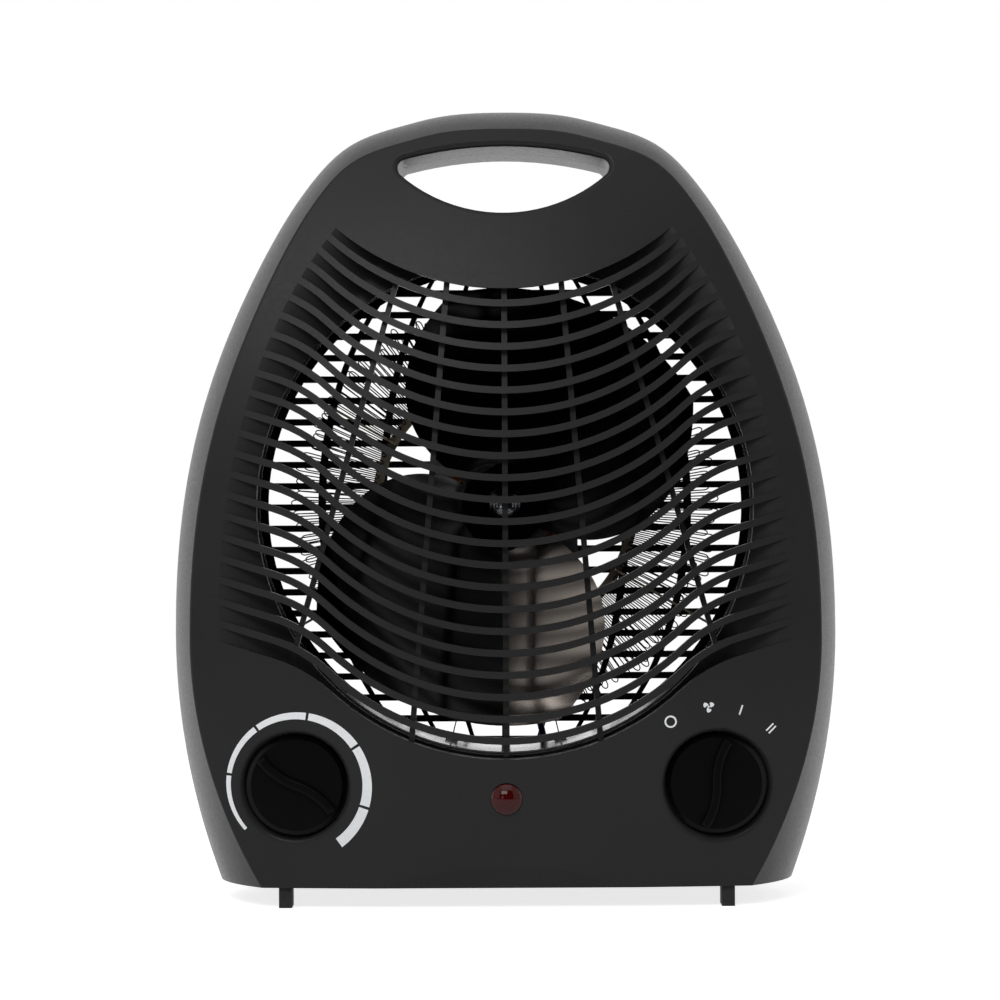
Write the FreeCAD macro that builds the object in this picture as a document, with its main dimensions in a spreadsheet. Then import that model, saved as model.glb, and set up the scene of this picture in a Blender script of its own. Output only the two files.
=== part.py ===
import FreeCAD, Part
import math
import os
from types import SimpleNamespace

import Sketcher
from FreeCAD import Placement, Rotation, Vector

# A small upright fan heater, in millimetres and degrees.
# X is to the right seen from the front, Y runs from the front to the rear, Z is up.
# The origin is on the floor, midway between the foremost and the rearmost point.

SIZES = {
    # General
    "overrun": 4.0,
    "wall": 2.4,
    "seat_gap": 0.3,
    "slip_gap": 0.15,
    "running_gap": 0.05,
    # Casing, seen from the front at the joint between the covers
    "half_width": 107.1,
    "waist_height": 86.6,
    "body_top": 255.0,
    "base_height": 6.5,
    "base_half_width": 92.9,
    # Casing, from front to rear
    "body_depth": 120.0,
    "dome_radius": 450.0,
    "dome_height": 95.0,
    "rear_radius": 900.0,
    "rear_height": 40.0,
    "front_side_round": 163.0,
    "front_top_round": 73.0,
    "front_base_round": 62.8,
    "rear_side_round": 140.0,
    "rear_top_round": 62.0,
    "rear_base_round": 120.0,
    "crease_radius": 1.0,
    "rear_edge_radius": 5.0,
    # Scooped front edge of the base
    "scoop_half_width": 41.0,
    "scoop_rise": 7.0,
    # Carrying handle
    "handle_half_width": 36.5,
    "handle_top": 241.8,
    "handle_tip_height": 236.3,
    "handle_bottom": 220.2,
    "handle_tip_radius": 3.0,
    "handle_lip_radius": 1.5,
    # Front grille
    "grille_height": 126.8,
    "opening_radius": 78.6,
    "bar_count": 21,
    "bar_pitch": 6.9,
    "bar_width": 2.2,
    "bar_depth": 4.5,
    "first_bar_height": 191.2,
    "brow_rise": 4.7,
    "bar_arc_radius": 82.0,
    "bar_arc_reach": 56.0,
    "bar_turn_radius": 44.0,
    "bar_end_angle": 17.0,
    "bar_reach": 92.0,
    "dish_half_width": 90.5,
    "dish_half_height": 149.4,
    "dish_middle_height": 95.0,
    "dish_depth": 9.0,
    "dish_run": 26.0,
    "dish_lip": 2.4,
    "collar_wall": 2.4,
    "collar_end": 24.0,
    "rib_width": 1.8,
    "rib_depth": 4.0,
    "rib_overlap": 1.0,
    "rib_top_height": 196.0,
    "rib_foot_height": 53.0,
    "inner_rib_top": 18.3,
    "inner_rib_foot": 29.8,
    "outer_rib_top": 34.8,
    "outer_rib_foot": 74.6,
    # Rear grille
    "inlet_rim": 2.4,
    "inlet_radius": 80.0,
    "inlet_bar_pitch": 7.15,
    "inlet_bar_width": 2.2,
    "inlet_rib_width": 2.6,
    "inlet_rib_pitch": 20.5,
    "inlet_rib_half_height": 93.0,
    "inlet_tool_depth": 24.0,
    "motor_seat_radius": 26.0,
    # Knob recesses and indicator hole of the front cover
    "knob_x": 66.2,
    "knob_height": 39.4,
    "recess_radius": 16.4,
    "recess_lip_radius": 2.2,
    "recess_setback": 15.5,
    "bush_radius": 4.0,
    "lens_height": 35.0,
    "lens_radius": 4.9,
    # Heat shield bosses
    "shield_boss_offset": 60.8,
    "shield_boss_radius": 4.0,
    "shield_screw_length": 4.0,
    # Motor posts of the rear cover
    "motor_screw_x": 20.0,
    "motor_post_radius": 4.5,
    "motor_post_front": 41.0,
    # Cord inlet of the rear cover
    "inlet_bush_x": 62.0,
    "inlet_bush_height": 24.0,
    "inlet_bush_radius": 6.0,
    "inlet_flange_radius": 8.5,
    "inlet_seat_setback": 3.5,
    "clamp_y": 43.0,
    "clamp_screw_x": 8.5,
    "clamp_post_radius": 3.2,
    "clamp_screw_length": 9.0,
    # Motor
    "stack_front": 22.0,
    "stack_thickness": 14.0,
    "bracket_column": 3.0,
    "bracket_thickness": 2.0,
    "motor_screw_length": 31.0,
    "motor_half_width": 24.0,
    "motor_top": 20.0,
    "motor_drop": 50.0,
    "window_half_width": 12.0,
    "window_top": 18.0,
    "core_height": 14.0,
    "rotor_radius": 12.0,
    "air_gap": 0.35,
    "rotor_overhang": 1.0,
    "shaft_radius": 2.0,
    "shaft_front": -31.0,
    "shaft_rear": 47.0,
    "bobbin_wall": 1.0,
    "coil_build": 6.0,
    "winding_inset": 0.8,
    "shading_x": 15.5,
    "shading_rise": 8.5,
    "shading_size": 5.0,
    "shading_bar": 1.6,
    "bracket_half_length": 25.0,
    "bracket_half_height": 6.5,
    "column_radius": 4.0,
    "cup_radius": 7.5,
    "cup_depth": 6.0,
    "bearing_radius": 5.0,
    "bearing_length": 5.0,
    "cup_hole_radius": 3.0,
    # Fan
    "tip_radius": 70.0,
    "root_radius": 12.5,
    "blade_thickness": 1.2,
    "blade_axial": 18.0,
    "hub_middle": -25.0,
    "hub_radius": 14.0,
    "hub_thickness": 3.0,
    "hub_boss_radius": 6.0,
    "hub_boss_end": -14.0,
    "blade_count": 2,
    "lead_root_angle": -30.0,
    "lead_tip_angle": 29.5,
    "trail_root_angle": 148.0,
    "trail_tip_angle": 104.0,
    "nut_radius": 6.3,
    "nut_height": 7.0,
    "nut_crown_radius": 7.5,
    # Heat shield
    "shield_thickness": 0.6,
    "shield_gap": 0.2,
    "shield_front": -38.4,
    "shield_rear": 16.0,
    "tab_thickness": 0.8,
    # Heating element
    "arm_count": 6,
    "strokes_per_sector": 16,
    "skipped_strokes": 3,
    "mica_thickness": 0.8,
    "arm_inner_radius": 41.2,
    "arm_front": -4.0,
    "arm_rear": 13.0,
    "mica_ring_inner": 40.4,
    "mica_ring_outer": 43.6,
    "mica_ring_y": 5.0,
    "wire_radius": 0.4,
    "wire_front": 1.0,
    "wire_rear": 9.0,
    "wire_inner_radius": 44.0,
    "wire_outer_radius": 66.0,
    "wire_end_radius": 84.0,
    "wire_hole_gap": 0.25,
    "bead_radius": 2.0,
    "bead_inner_reach": 76.0,
    "bead_outer_reach": 81.0,
    "cutout_radius": 8.0,
    "cutout_height": 7.0,
    "cutout_y": 5.0,
    "spade_width": 4.0,
    "spade_thickness": 0.8,
    "spade_length": 8.0,
    # Controls
    "knob_radius": 15.6,
    "knob_front": -52.2,
    "knob_bevel": 1.2,
    "knob_shell": 2.2,
    "knob_hollow": 4.5,
    "knob_ridge_height": 3.4,
    "knob_ridge_length": 28.0,
    "knob_ridge_width": 3.0,
    "knob_ridge_swing": 1.1,
    "knob_ridge_round": 0.9,
    "thermostat_angle": -37.0,
    "selector_angle": 74.0,
    "spindle_radius": 3.0,
    "spindle_flat": 2.0,
    "spindle_front": -51.0,
    "bush_front": -47.4,
    "nut_across": 6.3,
    "nut_thickness": 2.4,
    "thermostat_half": 12.0,
    "thermostat_depth": 18.0,
    "thermostat_bore_depth": 12.0,
    "bimetal_reach": 14.0,
    "bimetal_width": 8.0,
    "contact_radius": 2.0,
    "selector_half": 13.0,
    "selector_depth": 22.0,
    "selector_bore_depth": 14.0,
    "cam_radius": 9.5,
    "cam_depth": 6.0,
    "cam_gap": 1.0,
    "cam_setback": 4.0,
    "cam_notch_radius": 2.0,
    "control_spade_offset": 7.5,
    # Indicator
    "lens_crown_radius": 7.0,
    "lens_crown_rise": 2.2,
    "lens_flange_radius": 6.2,
    "lens_flange_thickness": 1.5,
    "lamp_radius": 3.0,
    "lamp_length": 12.0,
    "lamp_gap": 0.4,
    "lamp_lead_radius": 0.4,
    "lamp_lead_length": 8.0,
    "sleeve_wall": 1.2,
    "sleeve_length": 13.0,
    # Cord inlet and terminals
    "cord_bore_radius": 3.6,
    "inlet_flange_thickness": 2.0,
    "inlet_bush_length": 12.0,
    "inlet_lock_radius": 7.5,
    "clamp_half_length": 12.0,
    "clamp_half_width": 3.5,
    "clamp_height": 5.0,
    "block_x": 25.0,
    "block_half_length": 15.0,
    "block_y": 36.0,
    "block_half_width": 6.0,
    "block_height": 12.0,
    "block_pitch": 9.0,
    "block_screw_height": 1.2,
    "block_screw_radius": 2.2,
    # Inner leads
    "lead_radius": 1.1,
    "lead_stub": 6.0,
    # Feet
    "front_foot_x": 70.2,
    "rear_foot_x": 73.4,
    "foot_width": 4.1,
    "foot_half_length": 7.0,
    "foot_y": 37.0,
    "foot_peg_radius": 1.5,
    "foot_peg_length": 4.0,
    # Housing screws
    "low_boss_x": 84.0,
    "low_boss_height": 26.0,
    "high_boss_x": 62.0,
    "high_boss_height": 206.0,
    "boss_radius": 4.5,
    "rear_boss_radius": 5.4,
    "screw_radius": 1.5,
    "screw_head_radius": 3.0,
    "screw_head_height": 2.2,
    "screw_length": 30.0,
    "screw_bed_depth": 14.0,
    "screw_slot_width": 0.9,
    "screw_slot_depth": 1.2,
}

doc = FreeCAD.newDocument("FanHeater")
sheet = doc.addObject("Spreadsheet::Sheet", "Sizes")
for row, (alias, value) in enumerate(SIZES.items(), start=1):
    sheet.set(f"A{row}", alias)
    sheet.set(f"B{row}", str(value))
    sheet.setAlias(f"B{row}", alias)
doc.recompute()


class Size:
    """A size that keeps its value together with the sheet expression that gives it."""

    def __init__(self, value, text):
        self.value = float(value)
        self.text = text

    def __float__(self):
        return self.value

    def __add__(self, other):
        other = as_size(other)
        return Size(self.value + other.value, f"({self.text} + {other.text})")

    def __sub__(self, other):
        other = as_size(other)
        return Size(self.value - other.value, f"({self.text} - {other.text})")

    def __mul__(self, other):
        other = as_size(other)
        return Size(self.value * other.value, f"({self.text} * {other.text})")

    def __truediv__(self, other):
        other = as_size(other)
        return Size(self.value / other.value, f"({self.text} / {other.text})")

    def __neg__(self):
        return Size(-self.value, f"(0 - {self.text})")

    __radd__ = __add__
    __rmul__ = __mul__

    def __rsub__(self, other):
        return as_size(other) - self


def as_size(value):
    return value if isinstance(value, Size) else Size(value, f"({value})")


def root(size):
    return Size(math.sqrt(size.value), f"sqrt({size.text})")


s = SimpleNamespace(**{alias: Size(sheet.get(alias), f"Sizes.{alias}") for alias in SIZES})
front_y = -s.body_depth / 2
rear_y = s.body_depth / 2


def dome_y(x, z):
    """Depth of the front dome's surface at a place seen from the front."""
    reach = s.dome_radius * s.dome_radius - x * x - (z - s.dome_height) * (z - s.dome_height)
    return front_y + s.dome_radius - root(reach)


# Helpers for shapes that are set directly

UPPER_X_SHARES = (1.0, 0.907, 0.730, 0.575, 0.454, 0.300)
UPPER_Z_SHARES = (0.0, 0.445, 0.716, 0.871, 0.941, 0.976)


def at(x, y, z):
    return Vector(float(x), float(y), float(z))


def line(start, end):
    return Part.LineSegment(start, end).toShape()


def arc(start, middle, end):
    return Part.Arc(start, middle, end).toShape()


def prism(edges, y0, y1):
    """A solid between two depths whose outline is drawn with edges at depth zero."""
    face = Part.Face(Part.Wire(Part.__sortEdges__(edges)))
    face.translate(at(0, y0, 0))
    return face.extrude(at(0, y1 - y0, 0))


def round_bar(radius, x, z, y0, y1):
    return Part.makeCylinder(float(radius), float(y1 - y0), at(x, y0, z), Vector(0, 1, 0))


def flipped_curve(curve):
    """The mirror image of a curve on the other side, run the other way."""
    knots = curve.getKnots()
    poles = [flip(pole) for pole in reversed(curve.getPoles())]
    turned_knots = [knots[0] + knots[-1] - knot for knot in reversed(knots)]
    mirrored = Part.BSplineCurve()
    mirrored.buildFromPolesMultsKnots(
        poles, list(reversed(curve.getMultiplicities())), turned_knots, False, curve.Degree)
    return mirrored


def casing_section(y, inset):
    """One closed outline of the casing across its depth, drawn in by an inset."""
    if y < 0:
        rounds = (s.front_side_round, s.front_top_round, s.front_base_round)
    else:
        rounds = (s.rear_side_round, s.rear_top_round, s.rear_base_round)
    side_drop, top_drop, base_drop = (y * y / (2 * float(radius)) for radius in rounds)
    half = float(s.half_width) - side_drop - inset
    top = float(s.body_top) - top_drop - inset
    base_half = float(s.base_half_width) - base_drop - inset
    base = float(s.base_height) + inset
    waist = float(s.waist_height)
    shares = tuple(zip(UPPER_X_SHARES, UPPER_Z_SHARES))
    places = [at(half * x, y, waist + (top - waist) * z) for x, z in shares] + [at(0, y, top)]
    right_crown = Part.BSplineCurve()
    right_crown.interpolate(Points=places, InitialTangent=Vector(0, 0, 1), FinalTangent=Vector(-1, 0, 0))
    left_crown = flipped_curve(right_crown)
    height = waist - base
    draw = half - base_half
    radius = (height * height + draw * draw) / (2 * draw)
    turn = math.asin(height / radius) / 2
    middle = (half - radius + radius * math.cos(turn), waist - radius * math.sin(turn))
    right_side = arc(at(base_half, y, base), at(middle[0], y, middle[1]), at(half, y, waist))
    left_side = arc(at(-half, y, waist), at(-middle[0], y, middle[1]), at(-base_half, y, base))
    floor = line(at(-base_half, y, base), at(base_half, y, base))
    return Part.Wire([right_side, right_crown.toShape(), left_crown.toShape(), left_side, floor])


def casing_form(inset):
    """The whole casing as one solid, between its two domes, drawn in by an inset."""
    reach = float(rear_y + s.overrun)
    sections = [casing_section(reach * share, inset) for share in (-1, -0.5, 0, 0.5, 1)]
    form = Part.makeLoft(sections, True, False)
    front_middle = at(0, front_y + s.dome_radius, s.dome_height)
    rear_middle = at(0, rear_y - s.rear_radius, s.rear_height)
    form = form.common(Part.makeSphere(float(s.dome_radius) - inset, front_middle))
    return form.common(Part.makeSphere(float(s.rear_radius) - inset, rear_middle))


def front_ball(setback):
    """The ball of the front dome, set back from its surface."""
    return Part.makeSphere(float(s.dome_radius - setback), at(0, front_y + s.dome_radius, s.dome_height))


def half_space(y0, y1):
    """A slab across the whole casing between two depths."""
    wide = s.half_width + s.overrun
    tall = s.body_top + s.overrun
    return Part.makeBox(float(wide * 2), float(y1 - y0), float(tall + s.overrun), at(-wide, y0, -s.overrun))


# Covers

HANDLE_TIP_SHARE = 1.4


def handle_tunnel(extra):
    """The lens shaped hole of the handle as a solid, grown by an extra thickness."""
    reach = rear_y + s.overrun
    half = s.handle_half_width + HANDLE_TIP_SHARE * extra
    left_tip = at(-half, 0, s.handle_tip_height)
    right_tip = at(half, 0, s.handle_tip_height)
    upper = arc(left_tip, at(0, 0, s.handle_top + extra), right_tip)
    lower = arc(right_tip, at(0, 0, s.handle_bottom - extra), left_tip)
    solid = prism([upper, lower], -reach, reach)
    tips = [edge for edge in solid.Edges if abs(abs(edge.CenterOfMass.x) - float(half)) < float(s.slip_gap)]
    return solid.makeFillet(float(s.handle_tip_radius + extra), tips)


def edges_on(shape, ball, tolerance=1e-3):
    """Edges of a shape that lie on the surface of a ball."""
    found = []
    for edge in shape.Edges:
        points = edge.discretize(5)
        misses = [abs((point - ball.Surface.Center).Length - ball.Surface.Radius) for point in points]
        if max(misses) < tolerance:
            found.append(edge)
    return found


def casing_outer():
    """The outside of both covers as one solid, edges rounded, with the handle and knob recesses sunk."""
    form = casing_form(0)
    front = front_ball(as_size(0)).Faces[0]
    rear_middle = at(0, rear_y - s.rear_radius, s.rear_height)
    rear = Part.makeSphere(float(s.rear_radius), rear_middle).Faces[0]
    crease = [edge for edge in edges_on(form, front) if edge.CenterOfMass.z > float(s.base_height + s.wall)]
    form = form.makeFillet(float(s.crease_radius), crease)
    rim = [edge for edge in edges_on(form, rear) if edge.CenterOfMass.z > float(s.base_height + s.wall)]
    form = form.makeFillet(float(s.rear_edge_radius), rim)
    form = form.cut(handle_tunnel(as_size(0)))
    for dome in (front, rear):
        lip = [edge for edge in edges_on(form, dome) if in_handle(edge.CenterOfMass)]
        form = form.makeFillet(float(s.handle_lip_radius), lip)
    recesses = []
    for x in (-s.knob_x, s.knob_x):
        recesses.append(round_bar(s.recess_radius, x, s.knob_height, front_y - s.overrun, recess_y))
    form = form.cut(recesses)
    lip = [edge for edge in edges_on(form, front) if at_knob(edge.CenterOfMass)]
    return form.makeFillet(float(s.recess_lip_radius), lip)


def in_handle(point):
    inside = abs(point.x) < float(s.handle_half_width)
    return inside and float(s.handle_bottom) < point.z < float(s.handle_top)


def at_knob(point):
    side = abs(abs(point.x) - float(s.knob_x))
    return math.hypot(side, point.z - float(s.knob_height)) < float(s.recess_radius) / 2


def flip(point):
    return Vector(-point.x, point.y, point.z)


def bar_line(height, offset):
    """The line of one grille bar, moved parallel to itself, as edges from left to right and its right tip."""
    arc_radius = float(s.bar_arc_radius)
    turn_radius = float(s.bar_turn_radius)
    start = math.asin(float(s.bar_arc_reach) / arc_radius)
    end = math.radians(float(s.bar_end_angle))
    middle_z = float(height) + arc_radius
    turn_x = (arc_radius + turn_radius) * math.sin(start)
    turn_z = middle_z - (arc_radius + turn_radius) * math.cos(start)

    def on_turn(angle):
        radius = turn_radius + float(offset)
        return Vector(turn_x - radius * math.sin(angle), 0, turn_z + radius * math.cos(angle))

    radius = arc_radius - float(offset)
    low = Vector(0, 0, middle_z - radius)
    knee = Vector(radius * math.sin(start), 0, middle_z - radius * math.cos(start))
    bend = on_turn((start + end) / 2)
    tail = on_turn(end)
    run = float(s.bar_reach) - tail.x
    tip = Vector(tail.x + run, 0, tail.z + run * math.tan(end))
    edges = [
        line(flip(tip), flip(tail)),
        arc(flip(tail), flip(bend), flip(knee)),
        arc(flip(knee), low, knee),
        arc(knee, bend, tail),
        line(tail, tip),
    ]
    return edges, tip


def band(low_height, low_offset, high_height, high_offset):
    """A solid through the front between two lines of the grille."""
    low, low_tip = bar_line(low_height, low_offset)
    high, high_tip = bar_line(high_height, high_offset)
    sides = [line(low_tip, high_tip), line(flip(low_tip), flip(high_tip))]
    return prism(low + high + sides, front_y - s.overrun, as_size(0))


def ellipse_wire(half_width, y, half_height, height):
    middle = at(0, y, height)
    side = at(half_width, y, height)
    top = at(0, y, height + half_height)
    if float(half_height) > float(half_width):
        return Part.Wire(Part.Ellipse(top, side, middle).toShape())
    return Part.Wire(Part.Ellipse(side, top, middle).toShape())


DISH_HEIGHT_SHARES = (-0.5, -0.25, 0.0, 0.2, 0.4, 0.55, 0.7, 0.8, 0.88)
DISH_RUN_SHARES = (0.0, 0.12, 0.25, 0.4, 0.55, 0.7, 0.85, 1.0)


def dish_drop(along):
    """How far the dish has sunk on the way in from its edge, slowly at first and at the end."""
    return float(s.dish_depth) * (1 - math.cos(math.pi * along / float(s.dish_run))) / 2


def dish_floor(edge, z, setback):
    """Places along the floor of the dish at one height, from just outside its edge to its deepest line."""
    places = []
    start = edge + float(s.dish_lip)
    lip_drop = dish_drop(float(s.dish_lip))
    for share in DISH_RUN_SHARES:
        along = share * float(s.dish_run)
        x = as_size(start - along)
        y = float(dome_y(x, as_size(z))) + dish_drop(along) - lip_drop + float(setback)
        places.append(at(x, y, z))
    return places


def dish(setback):
    """The funnel that leads the front face in to the grille opening, set back from its place."""
    sections = []
    front = front_y - s.overrun
    for share in DISH_HEIGHT_SHARES:
        z = float(s.dish_middle_height) + float(s.dish_half_height) * share
        edge = float(s.dish_half_width) * math.sqrt(1 - share * share)
        places = dish_floor(edge, z, setback)
        right = Part.BSplineCurve()
        right.interpolate(places)
        outside, inside = places[0], places[-1]
        corner = at(outside.x, front, z)
        sections.append(Part.Wire([
            right.toShape(),
            line(inside, flip(inside)),
            flipped_curve(right).toShape(),
            line(flip(outside), flip(corner)),
            line(flip(corner), corner),
            line(corner, outside),
        ]))
    return Part.makeLoft(sections, True, False)


def rib(top_x, foot_x):
    """One upright rib behind the bars, leaning from its top to its foot."""
    half = s.rib_width / 2
    top = s.rib_top_height + s.bar_pitch
    lean = (foot_x - top_x) / (s.rib_top_height - s.rib_foot_height)
    foot = s.grille_height - s.opening_radius
    upper = top_x - lean * s.bar_pitch
    lower = top_x + lean * (s.rib_top_height - foot)
    corners = [at(upper - half, 0, top), at(upper + half, 0, top)]
    corners += [at(lower + half, 0, foot), at(lower - half, 0, foot)]
    edges = [line(corners[i - 1], corners[i]) for i in range(len(corners))]
    return prism(edges, front_y, as_size(0))


collar_y = front_y + s.collar_end
recess_y = front_y + s.recess_setback
joint_front = -s.seat_gap / 2
joint_rear = s.seat_gap / 2
housing_screw_places = [
    (side * x, z)
    for x, z in ((s.low_boss_x, s.low_boss_height), (s.high_boss_x, s.high_boss_height))
    for side in (-1, 1)
]
shield_screw_places = [
    (side * s.shield_boss_offset, s.grille_height + up * s.shield_boss_offset)
    for side in (-1, 1)
    for up in (-1, 1)
]


def foot_holes(foot_x, y):
    """Holes in the floor of one cover for the pegs of its two feet."""
    holes = []
    for x in (-foot_x, foot_x):
        start = at(x, y, s.base_height - s.overrun)
        height = float(s.foot_peg_length + s.overrun * 2)
        holes.append(Part.makeCylinder(float(s.foot_peg_radius + s.slip_gap), height, start))
    return holes


def grille_gaps(opening):
    """The gaps between the grille bars, each a solid that reaches out over the dish."""
    space = opening.fuse(dish(as_size(0)))
    half = s.bar_width / 2
    gaps = []
    for index in range(int(float(s.bar_count)) + 1):
        height = s.first_bar_height - index * s.bar_pitch
        if index == 0:
            gap = band(height, half, height + s.brow_rise, as_size(0))
        else:
            gap = band(height, half, height + s.bar_pitch, -half)
        gaps.append(gap.common(space))
    return gaps


def grille_ribs():
    """All upright ribs of the grille, behind its bars and inside its collar."""
    layer = front_ball(s.bar_depth - s.rib_overlap).cut(front_ball(s.bar_depth - s.rib_overlap + s.rib_depth))
    reach = s.opening_radius + s.rib_overlap
    inside = layer.common(round_bar(reach, as_size(0), s.grille_height, front_y, as_size(0)))
    zero = as_size(0)
    pairs = ((s.inner_rib_top, s.inner_rib_foot), (s.outer_rib_top, s.outer_rib_foot))
    ribs = [rib(zero, zero)]
    for top_x, foot_x in pairs:
        ribs.append(rib(top_x, foot_x))
        ribs.append(rib(-top_x, -foot_x))
    return [solid.common(inside) for solid in ribs]


def base_scoop():
    """The slanted cut that leaves a shallow arch along the front edge of the base."""
    high_z = s.base_height + s.scoop_rise
    high = at(0, dome_y(as_size(0), high_z), high_z)
    low = at(0, dome_y(s.scoop_half_width, s.base_height), s.base_height)
    slope = low - high
    upper = high - slope
    lower = low + slope
    front = float(front_y - s.overrun)
    corners = [upper, lower, Vector(0, front, lower.z), Vector(0, front, upper.z)]
    face = Part.Face(Part.makePolygon(corners + corners[:1]))
    width = float(s.scoop_half_width + s.overrun)
    face.translate(Vector(-width, 0, 0))
    return face.extrude(Vector(width * 2, 0, 0))


def front_cover(outer, inner):
    """The front shell: panel, grille, knob recesses, half of the handle and the inside bosses."""
    zero = as_size(0)
    cavity = inner.common(half_space(front_y, s.overrun))
    half = s.bar_width / 2
    last_height = s.first_bar_height - s.bar_count * s.bar_pitch
    zone = band(last_height, half - s.wall, s.first_bar_height + s.brow_rise, s.wall)
    steepest = s.dish_depth * (math.pi / 2) / s.dish_run
    thickness = s.wall * root(1 + steepest * steepest)
    kept = [
        handle_tunnel(s.wall),
        dish(thickness).common(zone),
        round_bar(s.opening_radius + s.collar_wall, zero, s.grille_height, front_y, collar_y),
    ]
    for x in (-s.knob_x, s.knob_x):
        kept.append(round_bar(s.recess_radius + s.wall, x, s.knob_height, front_y, recess_y + s.wall))
    for x, z in housing_screw_places:
        kept.append(round_bar(s.boss_radius, x, z, front_y, s.overrun))
    for x, z in shield_screw_places:
        kept.append(round_bar(s.shield_boss_radius, x, z, front_y, collar_y))
    cover = outer.common(half_space(front_y - s.overrun, joint_front)).cut(cavity.cut(kept))
    opening = round_bar(s.opening_radius, zero, s.grille_height, front_y - s.overrun, zero)
    cuts = [opening.common(front_ball(s.bar_depth)), base_scoop()]
    lens_hole = s.lens_radius + s.slip_gap
    cuts.append(round_bar(lens_hole, zero, s.lens_height, front_y - s.overrun, zero))
    for x in (-s.knob_x, s.knob_x):
        cuts.append(round_bar(s.bush_radius + s.seat_gap, x, s.knob_height, front_y, zero))
    for x, z in housing_screw_places:
        tip = s.screw_bed_depth - s.screw_length
        cuts.append(round_bar(s.screw_radius, x, z, tip - s.overrun, s.overrun))
    for x, z in shield_screw_places:
        cuts.append(round_bar(s.screw_radius, x, z, collar_y - s.shield_screw_length, zero))
    cuts += foot_holes(s.front_foot_x, -s.foot_y)
    cover = cover.cut(cuts)
    grille = cover.common(zone).cut(grille_gaps(opening)).fuse(grille_ribs())
    return cover.cut(zone).fuse(grille)


def inlet_openings():
    """The gaps of the rear grille: level bars crossed by ribs that bow outwards from the middle one."""
    zero = as_size(0)
    y0 = rear_y - s.inlet_tool_depth
    y1 = rear_y + s.overrun
    bars = [round_bar(s.motor_seat_radius, zero, s.grille_height, y0, y1)]
    half = s.inlet_bar_width / 2
    count = int(float(s.inlet_radius / s.inlet_bar_pitch))
    depth = float(y1 - y0)
    for index in range(-count, count + 1):
        low = s.grille_height + index * s.inlet_bar_pitch - half
        corner = at(-s.inlet_radius, y0, low)
        bars.append(Part.makeBox(float(s.inlet_radius * 2), depth, float(half * 2), corner))
    low = at(-s.inlet_rib_width / 2, y0, s.grille_height - s.inlet_radius)
    bars.append(Part.makeBox(float(s.inlet_rib_width), depth, float(s.inlet_radius * 2), low))
    for index in range(1, int(float(s.inlet_radius / s.inlet_rib_pitch)) + 1):
        outer = ellipse_prism(index * s.inlet_rib_pitch + s.inlet_rib_width / 2, y0, y1)
        inner = ellipse_prism(index * s.inlet_rib_pitch - s.inlet_rib_width / 2, y0, y1)
        bars.append(outer.cut(inner))
    return round_bar(s.inlet_radius, zero, s.grille_height, y0, y1).cut(bars)


def ellipse_prism(half_width, y0, y1):
    wire = ellipse_wire(half_width, y0, s.inlet_rib_half_height, s.grille_height)
    return Part.Face(wire).extrude(at(0, y1 - y0, 0))


def rear_cover(outer, inner):
    """The rear shell: screw columns, cord inlet, half of the handle and a round hole for the inlet grille."""
    zero = as_size(0)
    cavity = inner.common(half_space(-s.overrun, rear_y))
    kept = [handle_tunnel(s.wall)]
    for x, z in housing_screw_places:
        kept.append(round_bar(s.rear_boss_radius, x, z, -s.overrun, rear_y))
    pad_y = inlet_seat_y - s.wall - s.slip_gap
    pad_radius = s.inlet_flange_radius + s.wall
    kept.append(round_bar(pad_radius, s.inlet_bush_x, s.inlet_bush_height, pad_y, rear_y))
    for x in (s.inlet_bush_x - s.clamp_screw_x, s.inlet_bush_x + s.clamp_screw_x):
        start = at(x, s.clamp_y, s.base_height)
        height = float(s.inlet_bush_height - s.base_height)
        kept.append(Part.makeCylinder(float(s.clamp_post_radius), height, start))
    cover = outer.common(half_space(joint_rear, rear_y + s.overrun)).cut(cavity.cut(kept))
    seat_radius = s.inlet_radius + s.inlet_rim + s.slip_gap
    cuts = [round_bar(seat_radius, zero, s.grille_height, zero, rear_y + s.overrun)]
    for x, z in housing_screw_places:
        head = s.screw_head_radius + s.seat_gap
        cuts.append(round_bar(head, x, z, s.screw_bed_depth, rear_y + s.overrun))
        cuts.append(round_bar(s.screw_radius + s.slip_gap, x, z, -s.overrun, s.screw_bed_depth))
    bush = (s.inlet_bush_x, s.inlet_bush_height)
    cuts.append(round_bar(s.inlet_bush_radius + s.slip_gap, *bush, zero, rear_y + s.overrun))
    cuts.append(round_bar(s.inlet_flange_radius + s.seat_gap, *bush, inlet_seat_y, rear_y + s.overrun))
    for x in (s.inlet_bush_x - s.clamp_screw_x, s.inlet_bush_x + s.clamp_screw_x):
        start = at(x, s.clamp_y, s.inlet_bush_height - s.clamp_screw_length)
        cuts.append(Part.makeCylinder(float(s.screw_radius), float(s.clamp_screw_length + s.overrun), start))
    cuts += foot_holes(s.rear_foot_x, s.foot_y)
    return cover.cut(cuts)


def rear_grille(outer, inner):
    """The inlet grille in the rear shell, with the two posts that carry the motor."""
    zero = as_size(0)
    zone = round_bar(s.inlet_radius + s.inlet_rim, zero, s.grille_height, zero, rear_y + s.overrun)
    grille = zone.common(outer).cut(inner).cut(inlet_openings())
    posts = []
    holes = []
    for x in (-s.motor_screw_x, s.motor_screw_x):
        post_end = rear_y - s.wall / 2
        posts.append(round_bar(s.motor_post_radius, x, s.grille_height, s.motor_post_front, post_end))
        end = motor_front_y + s.motor_screw_length + s.seat_gap
        holes.append(round_bar(s.screw_radius, x, s.grille_height, s.motor_post_front - s.overrun, end))
    return grille.fuse([bar.common(outer) for bar in posts]).cut(holes)


inlet_seat_y = rear_y - s.inlet_seat_setback
motor_front_y = s.stack_front - s.bracket_column - s.bracket_thickness


# Helpers for objects of the document, bound to the sheet

NODES = []


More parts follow.
